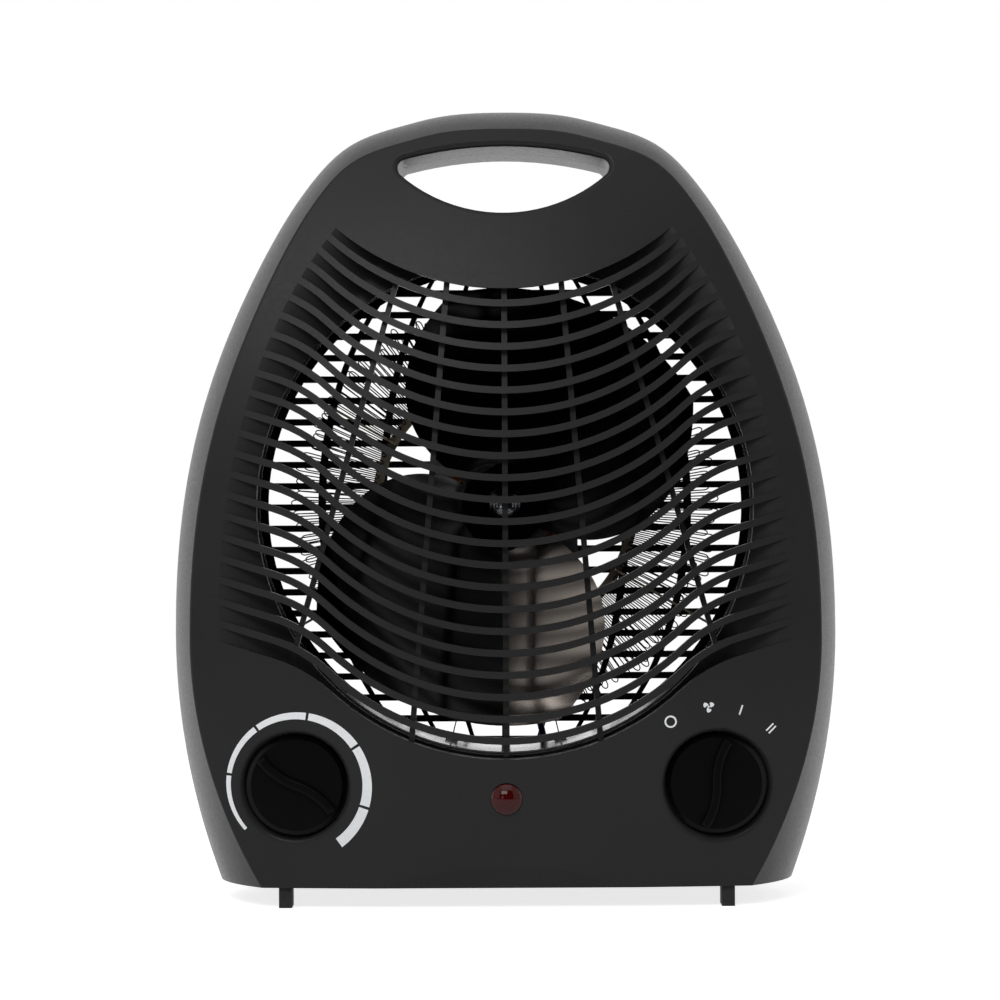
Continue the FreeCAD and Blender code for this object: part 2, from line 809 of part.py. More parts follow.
def node(label, item):
    """Names a finished piece."""
    item.Label = label
    NODES.append(item)
    return item


def bind(item, field, size):
    item.setExpression(field, as_size(size).text)


def place(item, x, y, z, rotation=Rotation()):
    item.Placement = Placement(at(x, y, z), rotation)
    for axis, size in zip("xyz", (x, y, z)):
        bind(item, f"Placement.Base.{axis}", size)
    return item


ALONG_Y = Rotation(Vector(1, 0, 0), -90)


def rod(name, radius, x, z, y0, y1):
    """A round bar from the front to the rear."""
    item = doc.addObject("Part::Cylinder", name)
    bind(item, "Radius", radius)
    bind(item, "Height", y1 - y0)
    return place(item, x, y0, z, ALONG_Y)


def taper(name, front_radius, rear_radius, x, z, y0, y1):
    item = doc.addObject("Part::Cone", name)
    bind(item, "Radius1", front_radius)
    bind(item, "Radius2", rear_radius)
    bind(item, "Height", y1 - y0)
    return place(item, x, y0, z, ALONG_Y)


def post(name, radius, x, y, z0, z1):
    """An upright round bar."""
    item = doc.addObject("Part::Cylinder", name)
    bind(item, "Radius", radius)
    bind(item, "Height", z1 - z0)
    return place(item, x, y, z0)


def ball(name, radius, x, y, z):
    item = doc.addObject("Part::Sphere", name)
    bind(item, "Radius", radius)
    return place(item, x, y, z, ALONG_Y)


def block(name, x0, x1, y0, y1, z0, z1):
    item = doc.addObject("Part::Box", name)
    bind(item, "Length", x1 - x0)
    bind(item, "Width", y1 - y0)
    bind(item, "Height", z1 - z0)
    return place(item, x0, y0, z0)


def joined(name, parts):
    item = doc.addObject("Part::MultiFuse", name)
    item.Shapes = parts
    return item


def shared(name, parts):
    item = doc.addObject("Part::MultiCommon", name)
    item.Shapes = parts
    return item


def less(name, base, tools):
    item = doc.addObject("Part::Cut", name)
    item.Base = base
    item.Tool = tools[0] if len(tools) == 1 else joined(name + "_tools", tools)
    return item


def group(name, parts):
    item = doc.addObject("Part::Compound", name)
    item.Links = parts
    return item


def direct(name, shape):
    """A piece whose shape is set directly, at its place."""
    item = doc.addObject("Part::Feature", name)
    item.Shape = shape
    item.Placement = shape.Placement
    return item


def screw(name, x, z, seat, length, forwards):
    """A cross slotted screw along Y, its head on a seat and its shank running forwards or to the rear."""
    way = -1 if forwards else 1
    head_end = seat - way * s.screw_head_height
    shank_end = seat + way * length
    head = rod(name + "_head", s.screw_head_radius, x, z, *ordered(seat, head_end))
    shank = rod(name + "_shank", s.screw_radius, x, z, *ordered(seat, shank_end))
    slots = []
    half = s.screw_slot_width / 2
    reach = s.screw_radius
    depth = ordered(head_end, head_end + way * s.screw_slot_depth)
    slots.append(block(name + "_slot_level", x - reach, x + reach, *depth, z - half, z + half))
    slots.append(block(name + "_slot_upright", x - half, x + half, *depth, z - reach, z + reach))
    return less(name, joined(name + "_body", [head, shank]), slots)


def ordered(first, second):
    return (first, second) if float(first) < float(second) else (second, first)


def origin_plane(body, role):
    return next(feature for feature in body.Origin.OriginFeatures if feature.Role == role)


def sketch_on(body, name, role):
    sketch = body.newObject("Sketcher::SketchObject", name)
    sketch.AttachmentSupport = [(origin_plane(body, role), "")]
    sketch.MapMode = "FlatFace"
    return sketch


def hold(sketch, kind, geometry, point, size):
    index = sketch.addConstraint(Sketcher.Constraint(kind, geometry, point, float(size)))
    sketch.setExpression(f"Constraints[{index}]", size.text)


def draw_rectangle(sketch, x0, x1, y0, y1):
    corners = [at(x0, y0, 0), at(x1, y0, 0), at(x1, y1, 0), at(x0, y1, 0)]
    first = sketch.GeometryCount
    for index in range(4):
        sketch.addGeometry(Part.LineSegment(corners[index], corners[(index + 1) % 4]))
    for index in range(4):
        ends = (first + index, 2, first + (index + 1) % 4, 1)
        sketch.addConstraint(Sketcher.Constraint("Coincident", *ends))
    for index in range(4):
        kind = "Horizontal" if index % 2 == 0 else "Vertical"
        sketch.addConstraint(Sketcher.Constraint(kind, first + index))
    hold(sketch, "DistanceX", first, 1, x0)
    hold(sketch, "DistanceY", first, 1, y0)
    hold(sketch, "DistanceX", first + 2, 1, x1)
    hold(sketch, "DistanceY", first + 2, 1, y1)


def draw_circle(sketch, x, y, radius):
    index = sketch.addGeometry(Part.Circle(at(x, y, 0), Vector(0, 0, 1), float(radius)))
    radius_index = sketch.addConstraint(Sketcher.Constraint("Radius", index, float(radius)))
    sketch.setExpression(f"Constraints[{radius_index}]", radius.text)
    if float(x) == 0:
        sketch.addConstraint(Sketcher.Constraint("PointOnObject", index, 3, -2))
    else:
        hold(sketch, "DistanceX", index, 3, x)
    hold(sketch, "DistanceY", index, 3, y)


def pad(body, name, sketch, length, backwards=False):
    feature = body.newObject("PartDesign::Pad", name)
    feature.Profile = sketch
    bind(feature, "Length", length)
    feature.Reversed = backwards
    return feature


zero = as_size(0)
fan_z = s.grille_height
shield_outer = s.opening_radius - s.shield_gap
shield_inner = shield_outer - s.shield_thickness


# Casing

def build_covers():
    outer = casing_outer()
    inner = casing_form(float(s.wall))
    node("front_cover", direct("front_shell", front_cover(outer, inner)))
    node("rear_cover", direct("rear_shell", rear_cover(outer, inner)))
    node("rear_grille", direct("inlet_grille", rear_grille(outer, inner)))


def build_foot(label, x, y):
    """A short block under the base with a peg that rises into the floor."""
    body = doc.addObject("PartDesign::Body", label + "_body")
    sole = sketch_on(body, label + "_sole", "XY_Plane")
    half = s.foot_width / 2
    draw_rectangle(sole, x - half, x + half, y - s.foot_half_length, y + s.foot_half_length)
    pad(body, label + "_sole_pad", sole, s.base_height)
    peg = sketch_on(body, label + "_peg", "XY_Plane")
    draw_circle(peg, x, y, s.foot_peg_radius)
    pad(body, label + "_peg_pad", peg, s.base_height + s.foot_peg_length)
    node(label, body)


def build_housing_screws():
    screws = []
    for index, (x, z) in enumerate(housing_screw_places):
        screws.append(screw(f"housing_screw_{index}", x, z, s.screw_bed_depth, s.screw_length, True))
    node("housing_screws", group("housing_screw_set", screws))


# Motor

stack_rear = s.stack_front + s.stack_thickness
shading_places = ((-s.shading_x, s.shading_rise), (s.shading_x, -s.shading_rise))
core_top = fan_z - s.motor_drop + s.core_height
core_foot = fan_z - s.motor_drop


def build_stack():
    """The pack of laminations with the rotor bore, the coil window and the slots of the shading rings."""
    body = doc.addObject("PartDesign::Body", "stack_body")
    outline = sketch_on(body, "stack_outline", "XZ_Plane")
    draw_rectangle(outline, -s.motor_half_width, s.motor_half_width, core_foot, fan_z + s.motor_top)
    draw_rectangle(outline, -s.window_half_width, s.window_half_width, core_top, fan_z - s.window_top)
    draw_circle(outline, zero, fan_z, s.rotor_radius + s.air_gap)
    for x in (-s.motor_screw_x, s.motor_screw_x):
        draw_circle(outline, x, fan_z, s.screw_radius + s.slip_gap)
    for x, rise in shading_places:
        for side in (-1, 1):
            middle = x + side * (s.shading_size - s.shading_bar) / 2
            half = s.shading_bar / 2 + s.slip_gap
            tall = s.shading_size / 2 + s.slip_gap
            draw_rectangle(outline, middle - half, middle + half, fan_z + rise - tall, fan_z + rise + tall)
    pad(body, "stack_pad", outline, s.stack_thickness, backwards=True)
    place(body, zero, s.stack_front, zero)
    node("motor_stack", body)


def build_shading_rings():
    """A copper ring round each pole tip: two bars through the stack, joined on both of its faces."""
    rings = []
    for index, (x, rise) in enumerate(shading_places):
        half = s.shading_size / 2
        z0 = fan_z + rise - half
        z1 = fan_z + rise + half
        y0 = s.stack_front - s.shading_bar
        y1 = stack_rear + s.shading_bar
        name = f"shading_ring_{index}"
        parts = [
            block(name + "_front", x - half, x + half, y0, s.stack_front, z0, z1),
            block(name + "_rear", x - half, x + half, stack_rear, y1, z0, z1),
            block(name + "_left", x - half, x - half + s.shading_bar, y0, y1, z0, z1),
            block(name + "_right", x + half - s.shading_bar, x + half, y0, y1, z0, z1),
        ]
        rings.append(joined(name, parts))
    node("shading_rings", group("shading_ring_set", rings))


def coil_box(name, half_length, grow):
    """A block round the coil core, grown on its four sides."""
    depth = (s.stack_front - grow, stack_rear + grow)
    return block(name, -half_length, half_length, *depth, core_foot - grow, core_top + grow)


def build_coil():
    """The bobbin round the core of the stack and the winding between its cheeks."""
    length = s.window_half_width - s.slip_gap
    flange = s.bobbin_wall
    hole = coil_box("bobbin_hole", length + s.overrun, s.slip_gap)
    tube = coil_box("bobbin_tube", length, s.slip_gap + s.bobbin_wall)
    space = coil_box("bobbin_space", length - flange, s.slip_gap + s.bobbin_wall + s.coil_build)
    cheeks = less("bobbin_cheeks", coil_box("bobbin_blank", length, s.bobbin_wall + s.coil_build), [space])
    node("motor_bobbin", less("bobbin", joined("bobbin_whole", [tube, cheeks]), [hole]))
    core = coil_box("winding_core", length, s.slip_gap + s.bobbin_wall)
    blank = coil_box("winding_blank", length - flange, s.bobbin_wall + s.coil_build - s.winding_inset)
    node("motor_winding", less("winding", blank, [core]))


def build_bracket(label, inner, way):
    """A strap across the motor with two columns on the stack and a cup for the bearing."""
    strap_in = inner + way * s.bracket_column
    strap_out = strap_in + way * s.bracket_thickness
    cup_out = strap_in + way * s.cup_depth
    bearing_span = ordered(strap_in, strap_in + way * s.bearing_length)
    parts = [
        block(label + "_strap", -s.bracket_half_length, s.bracket_half_length, *ordered(strap_in, strap_out),
              fan_z - s.bracket_half_height, fan_z + s.bracket_half_height),
        rod(label + "_cup", s.cup_radius, zero, fan_z, *ordered(strap_in, cup_out)),
    ]
    holes = [
        rod(label + "_seat", s.bearing_radius, zero, fan_z, *bearing_span),
        rod(label + "_hole", s.cup_hole_radius, zero, fan_z, *ordered(strap_in, cup_out + way * s.overrun)),
    ]
    for index, x in enumerate((-s.motor_screw_x, s.motor_screw_x)):
        parts.append(rod(f"{label}_column_{index}", s.column_radius, x, fan_z, *ordered(inner, strap_in)))
        hole = s.screw_radius + s.slip_gap
        holes.append(rod(f"{label}_hole_{index}", hole, x, fan_z, *ordered(inner, strap_out)))
    node(label, less(label + "_cut", joined(label + "_whole", parts), holes))
    bearing = ordered(strap_in, strap_in + way * s.bearing_length)
    bush = rod(label + "_bush_blank", s.bearing_radius, zero, fan_z, *bearing)
    bore = rod(label + "_bush_bore", s.shaft_radius + s.running_gap, zero, fan_z, *bearing)
    return less(label + "_bush", bush, [bore])


def build_motor():
    build_stack()
    build_shading_rings()
    build_coil()
    front = build_bracket("motor_front_bracket", s.stack_front, -1)
    rear = build_bracket("motor_rear_bracket", stack_rear, 1)
    node("motor_bushes", group("motor_bush_set", [front, rear]))
    screws = []
    for index, x in enumerate((-s.motor_screw_x, s.motor_screw_x)):
        screws.append(screw(f"motor_screw_{index}", x, fan_z, motor_front_y, s.motor_screw_length, False))
    node("motor_screws", group("motor_screw_set", screws))
    shaft = rod("shaft", s.shaft_radius, zero, fan_z, s.shaft_front, s.shaft_rear)
    node("motor_shaft", shaft)
    rotor_span = (s.stack_front - s.rotor_overhang, stack_rear + s.rotor_overhang)
    rotor = rod("rotor_blank", s.rotor_radius, zero, fan_z, *rotor_span)
    node("motor_rotor", less("rotor", rotor, [rod("rotor_bore", s.shaft_radius, zero, fan_z, *rotor_span)]))


# Fan

RADIUS_SHARES = (0.0, 0.12, 0.28, 0.46, 0.64, 0.82, 1.0)
CHORD_SHARES = (0.0, 0.17, 0.33, 0.5, 0.67, 0.83, 1.0)
LEAD_POWER_SHARE = 1.6
TRAIL_POWER_SHARE = 2.0
ROOT_TWIST_SHARE = 0.12


def blade(turn):
    """One broad blade: a twisted sheet between two swept edges, flat at its root."""
    root_radius = float(s.root_radius)
    span = float(s.tip_radius) - root_radius
    grid = []
    for radius_share in RADIUS_SHARES:
        radius = root_radius + span * radius_share
        lead_swing = float(s.lead_tip_angle - s.lead_root_angle) * radius_share ** LEAD_POWER_SHARE
        trail_swing = float(s.trail_tip_angle - s.trail_root_angle) * radius_share ** TRAIL_POWER_SHARE
        lead = float(s.lead_root_angle) + lead_swing
        trail = float(s.trail_root_angle) + trail_swing
        twist = ROOT_TWIST_SHARE + (1 - ROOT_TWIST_SHARE) * math.sqrt(radius_share)
        row = []
        for share in CHORD_SHARES:
            angle = math.radians(lead + (trail - lead) * share + turn)
            y = float(s.hub_middle) + twist * (0.5 - share) * float(s.blade_axial)
            row.append(Vector(radius * math.cos(angle), y, float(fan_z) + radius * math.sin(angle)))
        grid.append(row)
    surface = Part.BSplineSurface()
    surface.interpolate(grid)
    sheet_face = surface.toShape()
    sheet_face.translate(at(0, -s.blade_thickness / 2, 0))
    return sheet_face.extrude(at(0, s.blade_thickness, 0))


def build_fan():
    hub_front = s.hub_middle - s.hub_thickness / 2
    hub_rear = s.hub_middle + s.hub_thickness / 2
    count = int(float(s.blade_count))
    blades = [direct(f"blade_{index}", blade(360 * index / count)) for index in range(count)]
    plate = rod("fan_plate", s.hub_radius, zero, fan_z, hub_front, hub_rear)
    boss = rod("fan_boss", s.hub_boss_radius, zero, fan_z, hub_rear, s.hub_boss_end)
    bore = rod("fan_bore", s.shaft_radius, zero, fan_z, hub_front, s.hub_boss_end)
    node("fan_impeller", less("fan_wheel", joined("fan_wheel_blank", [plate, boss] + blades), [bore]))
    nut_front = hub_front - s.nut_height
    crown = ball("fan_nut_crown", s.nut_crown_radius, zero, nut_front + s.nut_crown_radius, fan_z)
    bar = rod("fan_nut_bar", s.nut_radius, zero, fan_z, nut_front, hub_front)
    blank = shared("fan_nut_blank", [bar, crown])
    hole = rod("fan_nut_hole", s.shaft_radius, zero, fan_z, s.shaft_front, hub_front)
    node("fan_nut", less("fan_nut_cut", blank, [hole]))


# Heat shield and heating element

stroke_step = 360 / (float(s.arm_count) * float(s.strokes_per_sector))
stroke_total = int(float(s.arm_count) * float(s.strokes_per_sector))
DOWN = 270.0
first_stroke = int(float(s.skipped_strokes))
last_stroke = stroke_total - 1 - first_stroke
wire_planes = (("front", s.wire_front), ("rear", s.wire_rear))


def stroke_angle(index):
    return math.radians(DOWN + (index + 0.5) * stroke_step)


end_angles = (stroke_angle(first_stroke), stroke_angle(last_stroke))


def spoke(name, radius, y, angle, r0, r1):
    """A round bar that points away from the fan's axis."""
    item = doc.addObject("Part::Cylinder", name)
    bind(item, "Radius", radius)
    bind(item, "Height", r1 - r0)
    way = Vector(math.cos(angle), 0, math.sin(angle))
    return place(item, r0 * way.x, y, fan_z + r0 * way.z, Rotation(Vector(0, 0, 1), way))


def build_heat_shield():
    """A thin metal ring inside the collar, held by four ears, with holes for the heating wires' ends."""
    parts = [rod("shield_tube", shield_outer, zero, fan_z, s.shield_front, s.shield_rear)]
    holes = [rod("shield_inside", shield_inner, zero, fan_z, s.shield_front, s.shield_rear)]
    ear = root(2 * s.shield_boss_offset * s.shield_boss_offset) - shield_inner
    screws = []
    for index, (x, z) in enumerate(shield_screw_places):
        parts.append(rod(f"shield_ear_{index}", ear, x, z, collar_y, collar_y + s.tab_thickness))
        hole = s.screw_radius + s.slip_gap
        holes.append(rod(f"shield_ear_hole_{index}", hole, x, z, collar_y, collar_y + s.tab_thickness))
        seat = collar_y + s.tab_thickness
        screws.append(screw(f"shield_screw_{index}", x, z, seat, s.shield_screw_length, True))
    beads = []
    for plane, y in wire_planes:
        for index, angle in enumerate(end_angles):
            name = f"{plane}_{index}"
            reach = shield_outer + s.overrun
            holes.append(spoke("shield_bead_hole_" + name, s.bead_radius + s.slip_gap, y, angle, zero, reach))
            span = (s.bead_inner_reach, s.bead_outer_reach)
            bead = spoke("bead_blank_" + name, s.bead_radius, y, angle, *span)
            bore = spoke("bead_bore_" + name, s.wire_radius + s.slip_gap, y, angle, *span)
            beads.append(less("bead_" + name, bead, [bore]))
    node("heat_shield", less("shield", joined("shield_blank", parts), holes))
    node("shield_screws", group("shield_screw_set", screws))
    node("wire_beads", group("wire_bead_set", beads))


def mica_arm(angle):
    """One upright mica plate between the mica ring and the shield, with holes for both wires."""
    y0 = s.arm_front
    inner = s.arm_inner_radius
    length = shield_inner - s.shield_gap - inner
    corner = at(inner, y0, -s.mica_thickness / 2)
    plate = Part.makeBox(float(length), float(s.arm_rear - y0), float(s.mica_thickness), corner)
    turn = math.radians(stroke_step / 2)
    crossing = s.wire_inner_radius * (1 - math.sin(turn))
    cuts = []
    for _, y in wire_planes:
        start = at(crossing, y, -s.overrun)
        radius = float(s.wire_radius + s.wire_hole_gap)
        cuts.append(Part.makeCylinder(radius, float(s.overrun * 2), start))
    slot = s.mica_thickness / 2 + s.slip_gap
    reach = s.mica_ring_outer + s.slip_gap - inner
    corner = at(inner, s.mica_ring_y - slot, -s.overrun)
    cuts.append(Part.makeBox(float(reach), float(slot * 2), float(s.overrun * 2), corner))
    arm = plate.cut(cuts)
    arm.Placement = Placement(at(0, 0, fan_z), Rotation(Vector(0, 1, 0), -angle))
    return arm


def heating_wire(label, y):
    """One unbroken wire in radial strokes, each pair joined by a round bend."""
    half = math.radians(stroke_step / 2)

    def spot(radius, angle):
        return Vector(radius * math.cos(angle), float(y), float(fan_z) + radius * math.sin(angle))

    inner = float(s.wire_inner_radius)
    outer = float(s.wire_outer_radius)
    edges = []
    here = spot(float(s.wire_end_radius), stroke_angle(first_stroke))
    for index in range(first_stroke, last_stroke + 1):
        angle = stroke_angle(index)
        inwards = (index - first_stroke) % 2 == 0
        reach = inner if inwards else outer
        if index == last_stroke:
            edges.append(line(here, spot(float(s.wire_end_radius), angle)))
            break
        bend = reach * math.sin(half)
        top = reach - bend if inwards else reach + bend
        start = spot(reach * math.cos(half), angle)
        end = spot(reach * math.cos(half), stroke_angle(index + 1))
        edges.append(line(here, start))
        edges.append(arc(start, spot(top, angle + half), end))
        here = end
    path = Part.Wire(edges)
    start = edges[0].firstVertex().Point
    way = edges[0].tangentAt(edges[0].FirstParameter)
    ring = Part.Wire(Part.Circle(start, way, float(s.wire_radius)).toShape())
    tube = path.makePipeShell([ring], True, False)
    length = sum(edge.Length for edge in edges)
    share = tube.Volume / (math.pi * float(s.wire_radius) ** 2 * length)
    gap = 2 * inner * math.sin(half) - 2 * float(s.wire_radius)
    print(label, "length", round(length), "volume share", round(share, 4), "gap across a bend", round(gap, 2))
    measure_gap(label, edges)
    return tube


def measure_gap(label, edges):
    """Prints the least gap between stretches of a wire that are not neighbours, measured on points."""
    runs = [edge.discretize(9) for edge in edges]
    least = None
    for first in range(len(runs)):
        for second in range(first + 2, min(first + 6, len(runs))):
            for a in runs[first]:
                for b in runs[second]:
                    gap = (a - b).Length
                    least = gap if least is None else min(least, gap)
    print(label, "least gap to itself", round(least - 2 * float(s.wire_radius), 2))


def build_element():
    count = int(float(s.arm_count))
    arms = [mica_arm(DOWN + 360 * index / count) for index in range(count)]
    node("mica_arms", direct("mica_arm_set", Part.makeCompound(arms)))
    half = s.mica_thickness / 2
    span = (s.mica_ring_y - half, s.mica_ring_y + half)
    ring = rod("mica_ring_blank", s.mica_ring_outer, zero, fan_z, *span)
    hole = rod("mica_ring_hole", s.mica_ring_inner, zero, fan_z, *span)
    node("mica_ring", less("mica_ring_cut", ring, [hole]))
    for plane, y in wire_planes:
        label = "heating_wire_" + plane
        node(label, direct(label + "_tube", heating_wire(label, y)))
    top = fan_z - shield_outer
    cutout = post("cutout_can", s.cutout_radius, zero, s.cutout_y, top - s.cutout_height, top)
    spades = []
    for side in (-1, 1):
        x = side * s.cutout_radius / 2
        thin = s.spade_thickness / 2
        wide = s.spade_width / 2
        foot = top - s.cutout_height - s.spade_length
        plan = (x - thin, x + thin, s.cutout_y - wide, s.cutout_y + wide)
        spades.append(block(f"cutout_spade_{side + 1}", *plan, foot, top - s.cutout_height))
    node("thermal_cutout", joined("cutout", [cutout] + spades))


# Controls

floor_back = recess_y + s.wall


def knob_ridge(x, angle):
    """The S shaped grip of a knob, turned to its angle, with its front edges rounded."""
    quarter = float(s.knob_ridge_length) / 4
    swing = float(s.knob_ridge_swing)
    half = float(s.knob_ridge_width) / 2
    radius = (quarter * quarter + swing * swing) / (2 * swing)
    spread = math.asin(quarter / radius)

    def spot(side, across, angle_share):
        turn = spread * angle_share
        reach = radius + side * across
        u = side * quarter + reach * math.sin(turn)
        v = side * (swing - radius) + side * reach * math.cos(turn)
        return Vector(u, 0, v)

    edges = []
    for across in (-half, half):
        for side in (-1, 1):
            edges.append(arc(spot(side, across, -1), spot(side, across, 0), spot(side, across, 1)))
    edges.append(line(spot(-1, -half, -1), spot(-1, half, -1)))
    edges.append(line(spot(1, -half, 1), spot(1, half, 1)))
    front = s.knob_front - s.knob_ridge_height
    solid = prism(edges, front, s.knob_front + s.knob_bevel / 2)
    rims = [edge for edge in solid.Edges if abs(edge.CenterOfMass.y - float(front)) < float(s.slip_gap)]
    solid = solid.makeFillet(float(s.knob_ridge_round), rims)
    solid.Placement = Placement(at(x, 0, s.knob_height), Rotation(Vector(0, 1, 0), -float(angle)))
    return solid


def build_spindle(label, x, rear):
    """A spindle with a flat on its front end, and the knob is cut to match it."""
    z = s.knob_height
    bar = rod(label + "_bar", s.spindle_radius, x, z, s.spindle_front, rear)
    wide = s.spindle_radius + s.slip_gap
    spread = (x - wide, x + wide, s.spindle_front, s.bush_front)
    flat = block(label + "_flat", *spread, z + s.spindle_flat, z + wide)
    return less(label + "_cut", bar, [flat])


def build_knob(label, x, angle, spindle):
    z = s.knob_height
    back = recess_y - s.seat_gap
    shoulder = s.knob_front + s.knob_bevel
    disc = rod(label + "_disc", s.knob_radius, x, z, shoulder, back)
    bevel = taper(label + "_bevel", s.knob_radius - s.knob_bevel, s.knob_radius, x, z, s.knob_front, shoulder)
    ridge = direct(label + "_ridge", knob_ridge(x, angle))
    hollow = rod(label + "_hollow", s.knob_radius - s.knob_shell, x, z, back - s.knob_hollow, back)
    node(label, less(label + "_cut", joined(label + "_whole", [disc, bevel, ridge]), [hollow, spindle]))


def build_nut(name, x):
    nut = doc.addObject("Part::Prism", name + "_blank")
    nut.Polygon = 6
    bind(nut, "Circumradius", s.nut_across)
    bind(nut, "Height", s.nut_thickness)
    place(nut, x, recess_y - s.nut_thickness, s.knob_height, ALONG_Y)
    hole = rod(name + "_hole", s.bush_radius, x, s.knob_height, recess_y - s.nut_thickness, recess_y)
    return less(name, nut, [hole])


def spade(name, x, z, y):
    """A flat terminal that stands out to the rear."""
    wide = s.spade_width / 2
    thin = s.spade_thickness / 2
    return block(name, x - wide, x + wide, y, y + s.spade_length, z - thin, z + thin)


def build_thermostat():
    x = -s.knob_x
    z = s.knob_height
    half = s.thermostat_half
    rear = floor_back + s.thermostat_depth
    body = block("thermostat_block", x - half, x + half, floor_back, rear, z - half, z + half)
    bush = rod("thermostat_bush", s.bush_radius, x, z, s.bush_front, floor_back)
    bore_end = floor_back + s.thermostat_bore_depth
    bore = rod("thermostat_bore", s.spindle_radius + s.running_gap, x, z, s.bush_front, bore_end)
    node("thermostat_body", less("thermostat_case", joined("thermostat_whole", [body, bush]), [bore]))
    thin = s.spade_thickness
    wide = s.bimetal_width / 2
    strip = block("bimetal_strip", x - s.bimetal_reach, x + half, rear, rear + thin, z - wide, z + wide)
    contact = rod("bimetal_contact", s.contact_radius, x - half, z, rear + thin, rear + thin * 2)
    node("thermostat_bimetal", joined("bimetal", [strip, contact]))
    step = s.control_spade_offset
    spades = [spade("thermostat_spade_in", x - step, z - step, rear),
              spade("thermostat_spade_out", x + step, z + step, rear)]
    node("thermostat_terminals", group("thermostat_spades", spades))
    spindle = build_spindle("thermostat_shaft", x, bore_end - s.seat_gap)
    node("thermostat_spindle", spindle)
    build_knob("thermostat_knob", x, s.thermostat_angle, spindle)
    return rear


def build_selector():
    x = s.knob_x
    z = s.knob_height
    half = s.selector_half
    rear = floor_back + s.selector_depth
    body = block("selector_block", x - half, x + half, floor_back, rear, z - half, z + half)
    bush = rod("selector_bush", s.bush_radius, x, z, s.bush_front, floor_back)
    cam_y = floor_back + s.cam_setback
    bore_end = floor_back + s.selector_bore_depth
    cam_span = (cam_y - s.cam_gap, cam_y + s.cam_depth + s.cam_gap)
    cuts = [
        rod("selector_bore", s.spindle_radius + s.running_gap, x, z, s.bush_front, bore_end),
        rod("selector_cam_space", s.cam_radius + s.cam_gap, x, z, *cam_span),
    ]
    node("selector_body", less("selector_case", joined("selector_whole", [body, bush]), cuts))
    step = s.control_spade_offset
    spades = []
    for side in (-1, 1):
        for up in (-1, 1):
            name = f"selector_spade_{side + 1}_{up + 1}"
            spades.append(spade(name, x + side * step, z + up * step, rear))
    node("selector_terminals", group("selector_spades", spades))
    spindle = build_spindle("selector_shaft", x, bore_end - s.seat_gap)
    node("selector_spindle", spindle)
    cam = rod("cam_blank", s.cam_radius, x, z, cam_y, cam_y + s.cam_depth)
    notch = rod("cam_notch", s.cam_notch_radius, x + s.cam_radius, z, cam_y, cam_y + s.cam_depth)
    node("selector_cam", less("cam", cam, [notch, spindle]))
    build_knob("selector_knob", x, s.selector_angle, spindle)
    return rear


def build_indicator():
    """A domed lens in the panel with a lamp behind it in a sleeve."""
    z = s.lens_height
    panel_y = dome_y(zero, z)
    crown_y = panel_y - s.lens_crown_rise
    flange_front = dome_y(zero, z - s.lens_flange_radius) + s.wall + s.seat_gap
    flange_rear = flange_front + s.lens_flange_thickness
    crown = ball("lens_crown", s.lens_crown_radius, zero, crown_y + s.lens_crown_radius, z)
    dome = shared("lens_dome", [rod("lens_bar", s.lens_radius, zero, z, crown_y, flange_rear), crown])
    flange = rod("lens_flange", s.lens_flange_radius, zero, z, flange_front, flange_rear)
    bore = s.lamp_radius + s.lamp_gap
    hole = rod("lens_hole", bore, zero, z, panel_y + s.wall / 2, flange_rear)
    node("indicator_lens", less("lens", joined("lens_whole", [dome, flange]), [hole]))
    lamp_front = panel_y + s.wall / 2 + s.seat_gap
    lamp_rear = lamp_front + s.lamp_length
    glass = rod("lamp_glass", s.lamp_radius, zero, z, lamp_front, lamp_rear)
    legs = []
    for side in (-1, 1):
        x = side * s.lamp_radius / 2
        leg_span = (lamp_rear, lamp_rear + s.lamp_lead_length)
        legs.append(rod(f"lamp_leg_{side + 1}", s.lamp_lead_radius, x, z, *leg_span))
    node("neon_lamp", joined("lamp", [glass] + legs))
    sleeve_bore = s.lamp_radius + s.slip_gap
    span = (flange_rear, flange_rear + s.sleeve_length)
    sleeve = rod("sleeve_blank", sleeve_bore + s.sleeve_wall, zero, z, *span)
    node("lamp_sleeve", less("sleeve", sleeve, [rod("sleeve_bore", sleeve_bore, zero, z, *span)]))


# Cord inlet and terminals

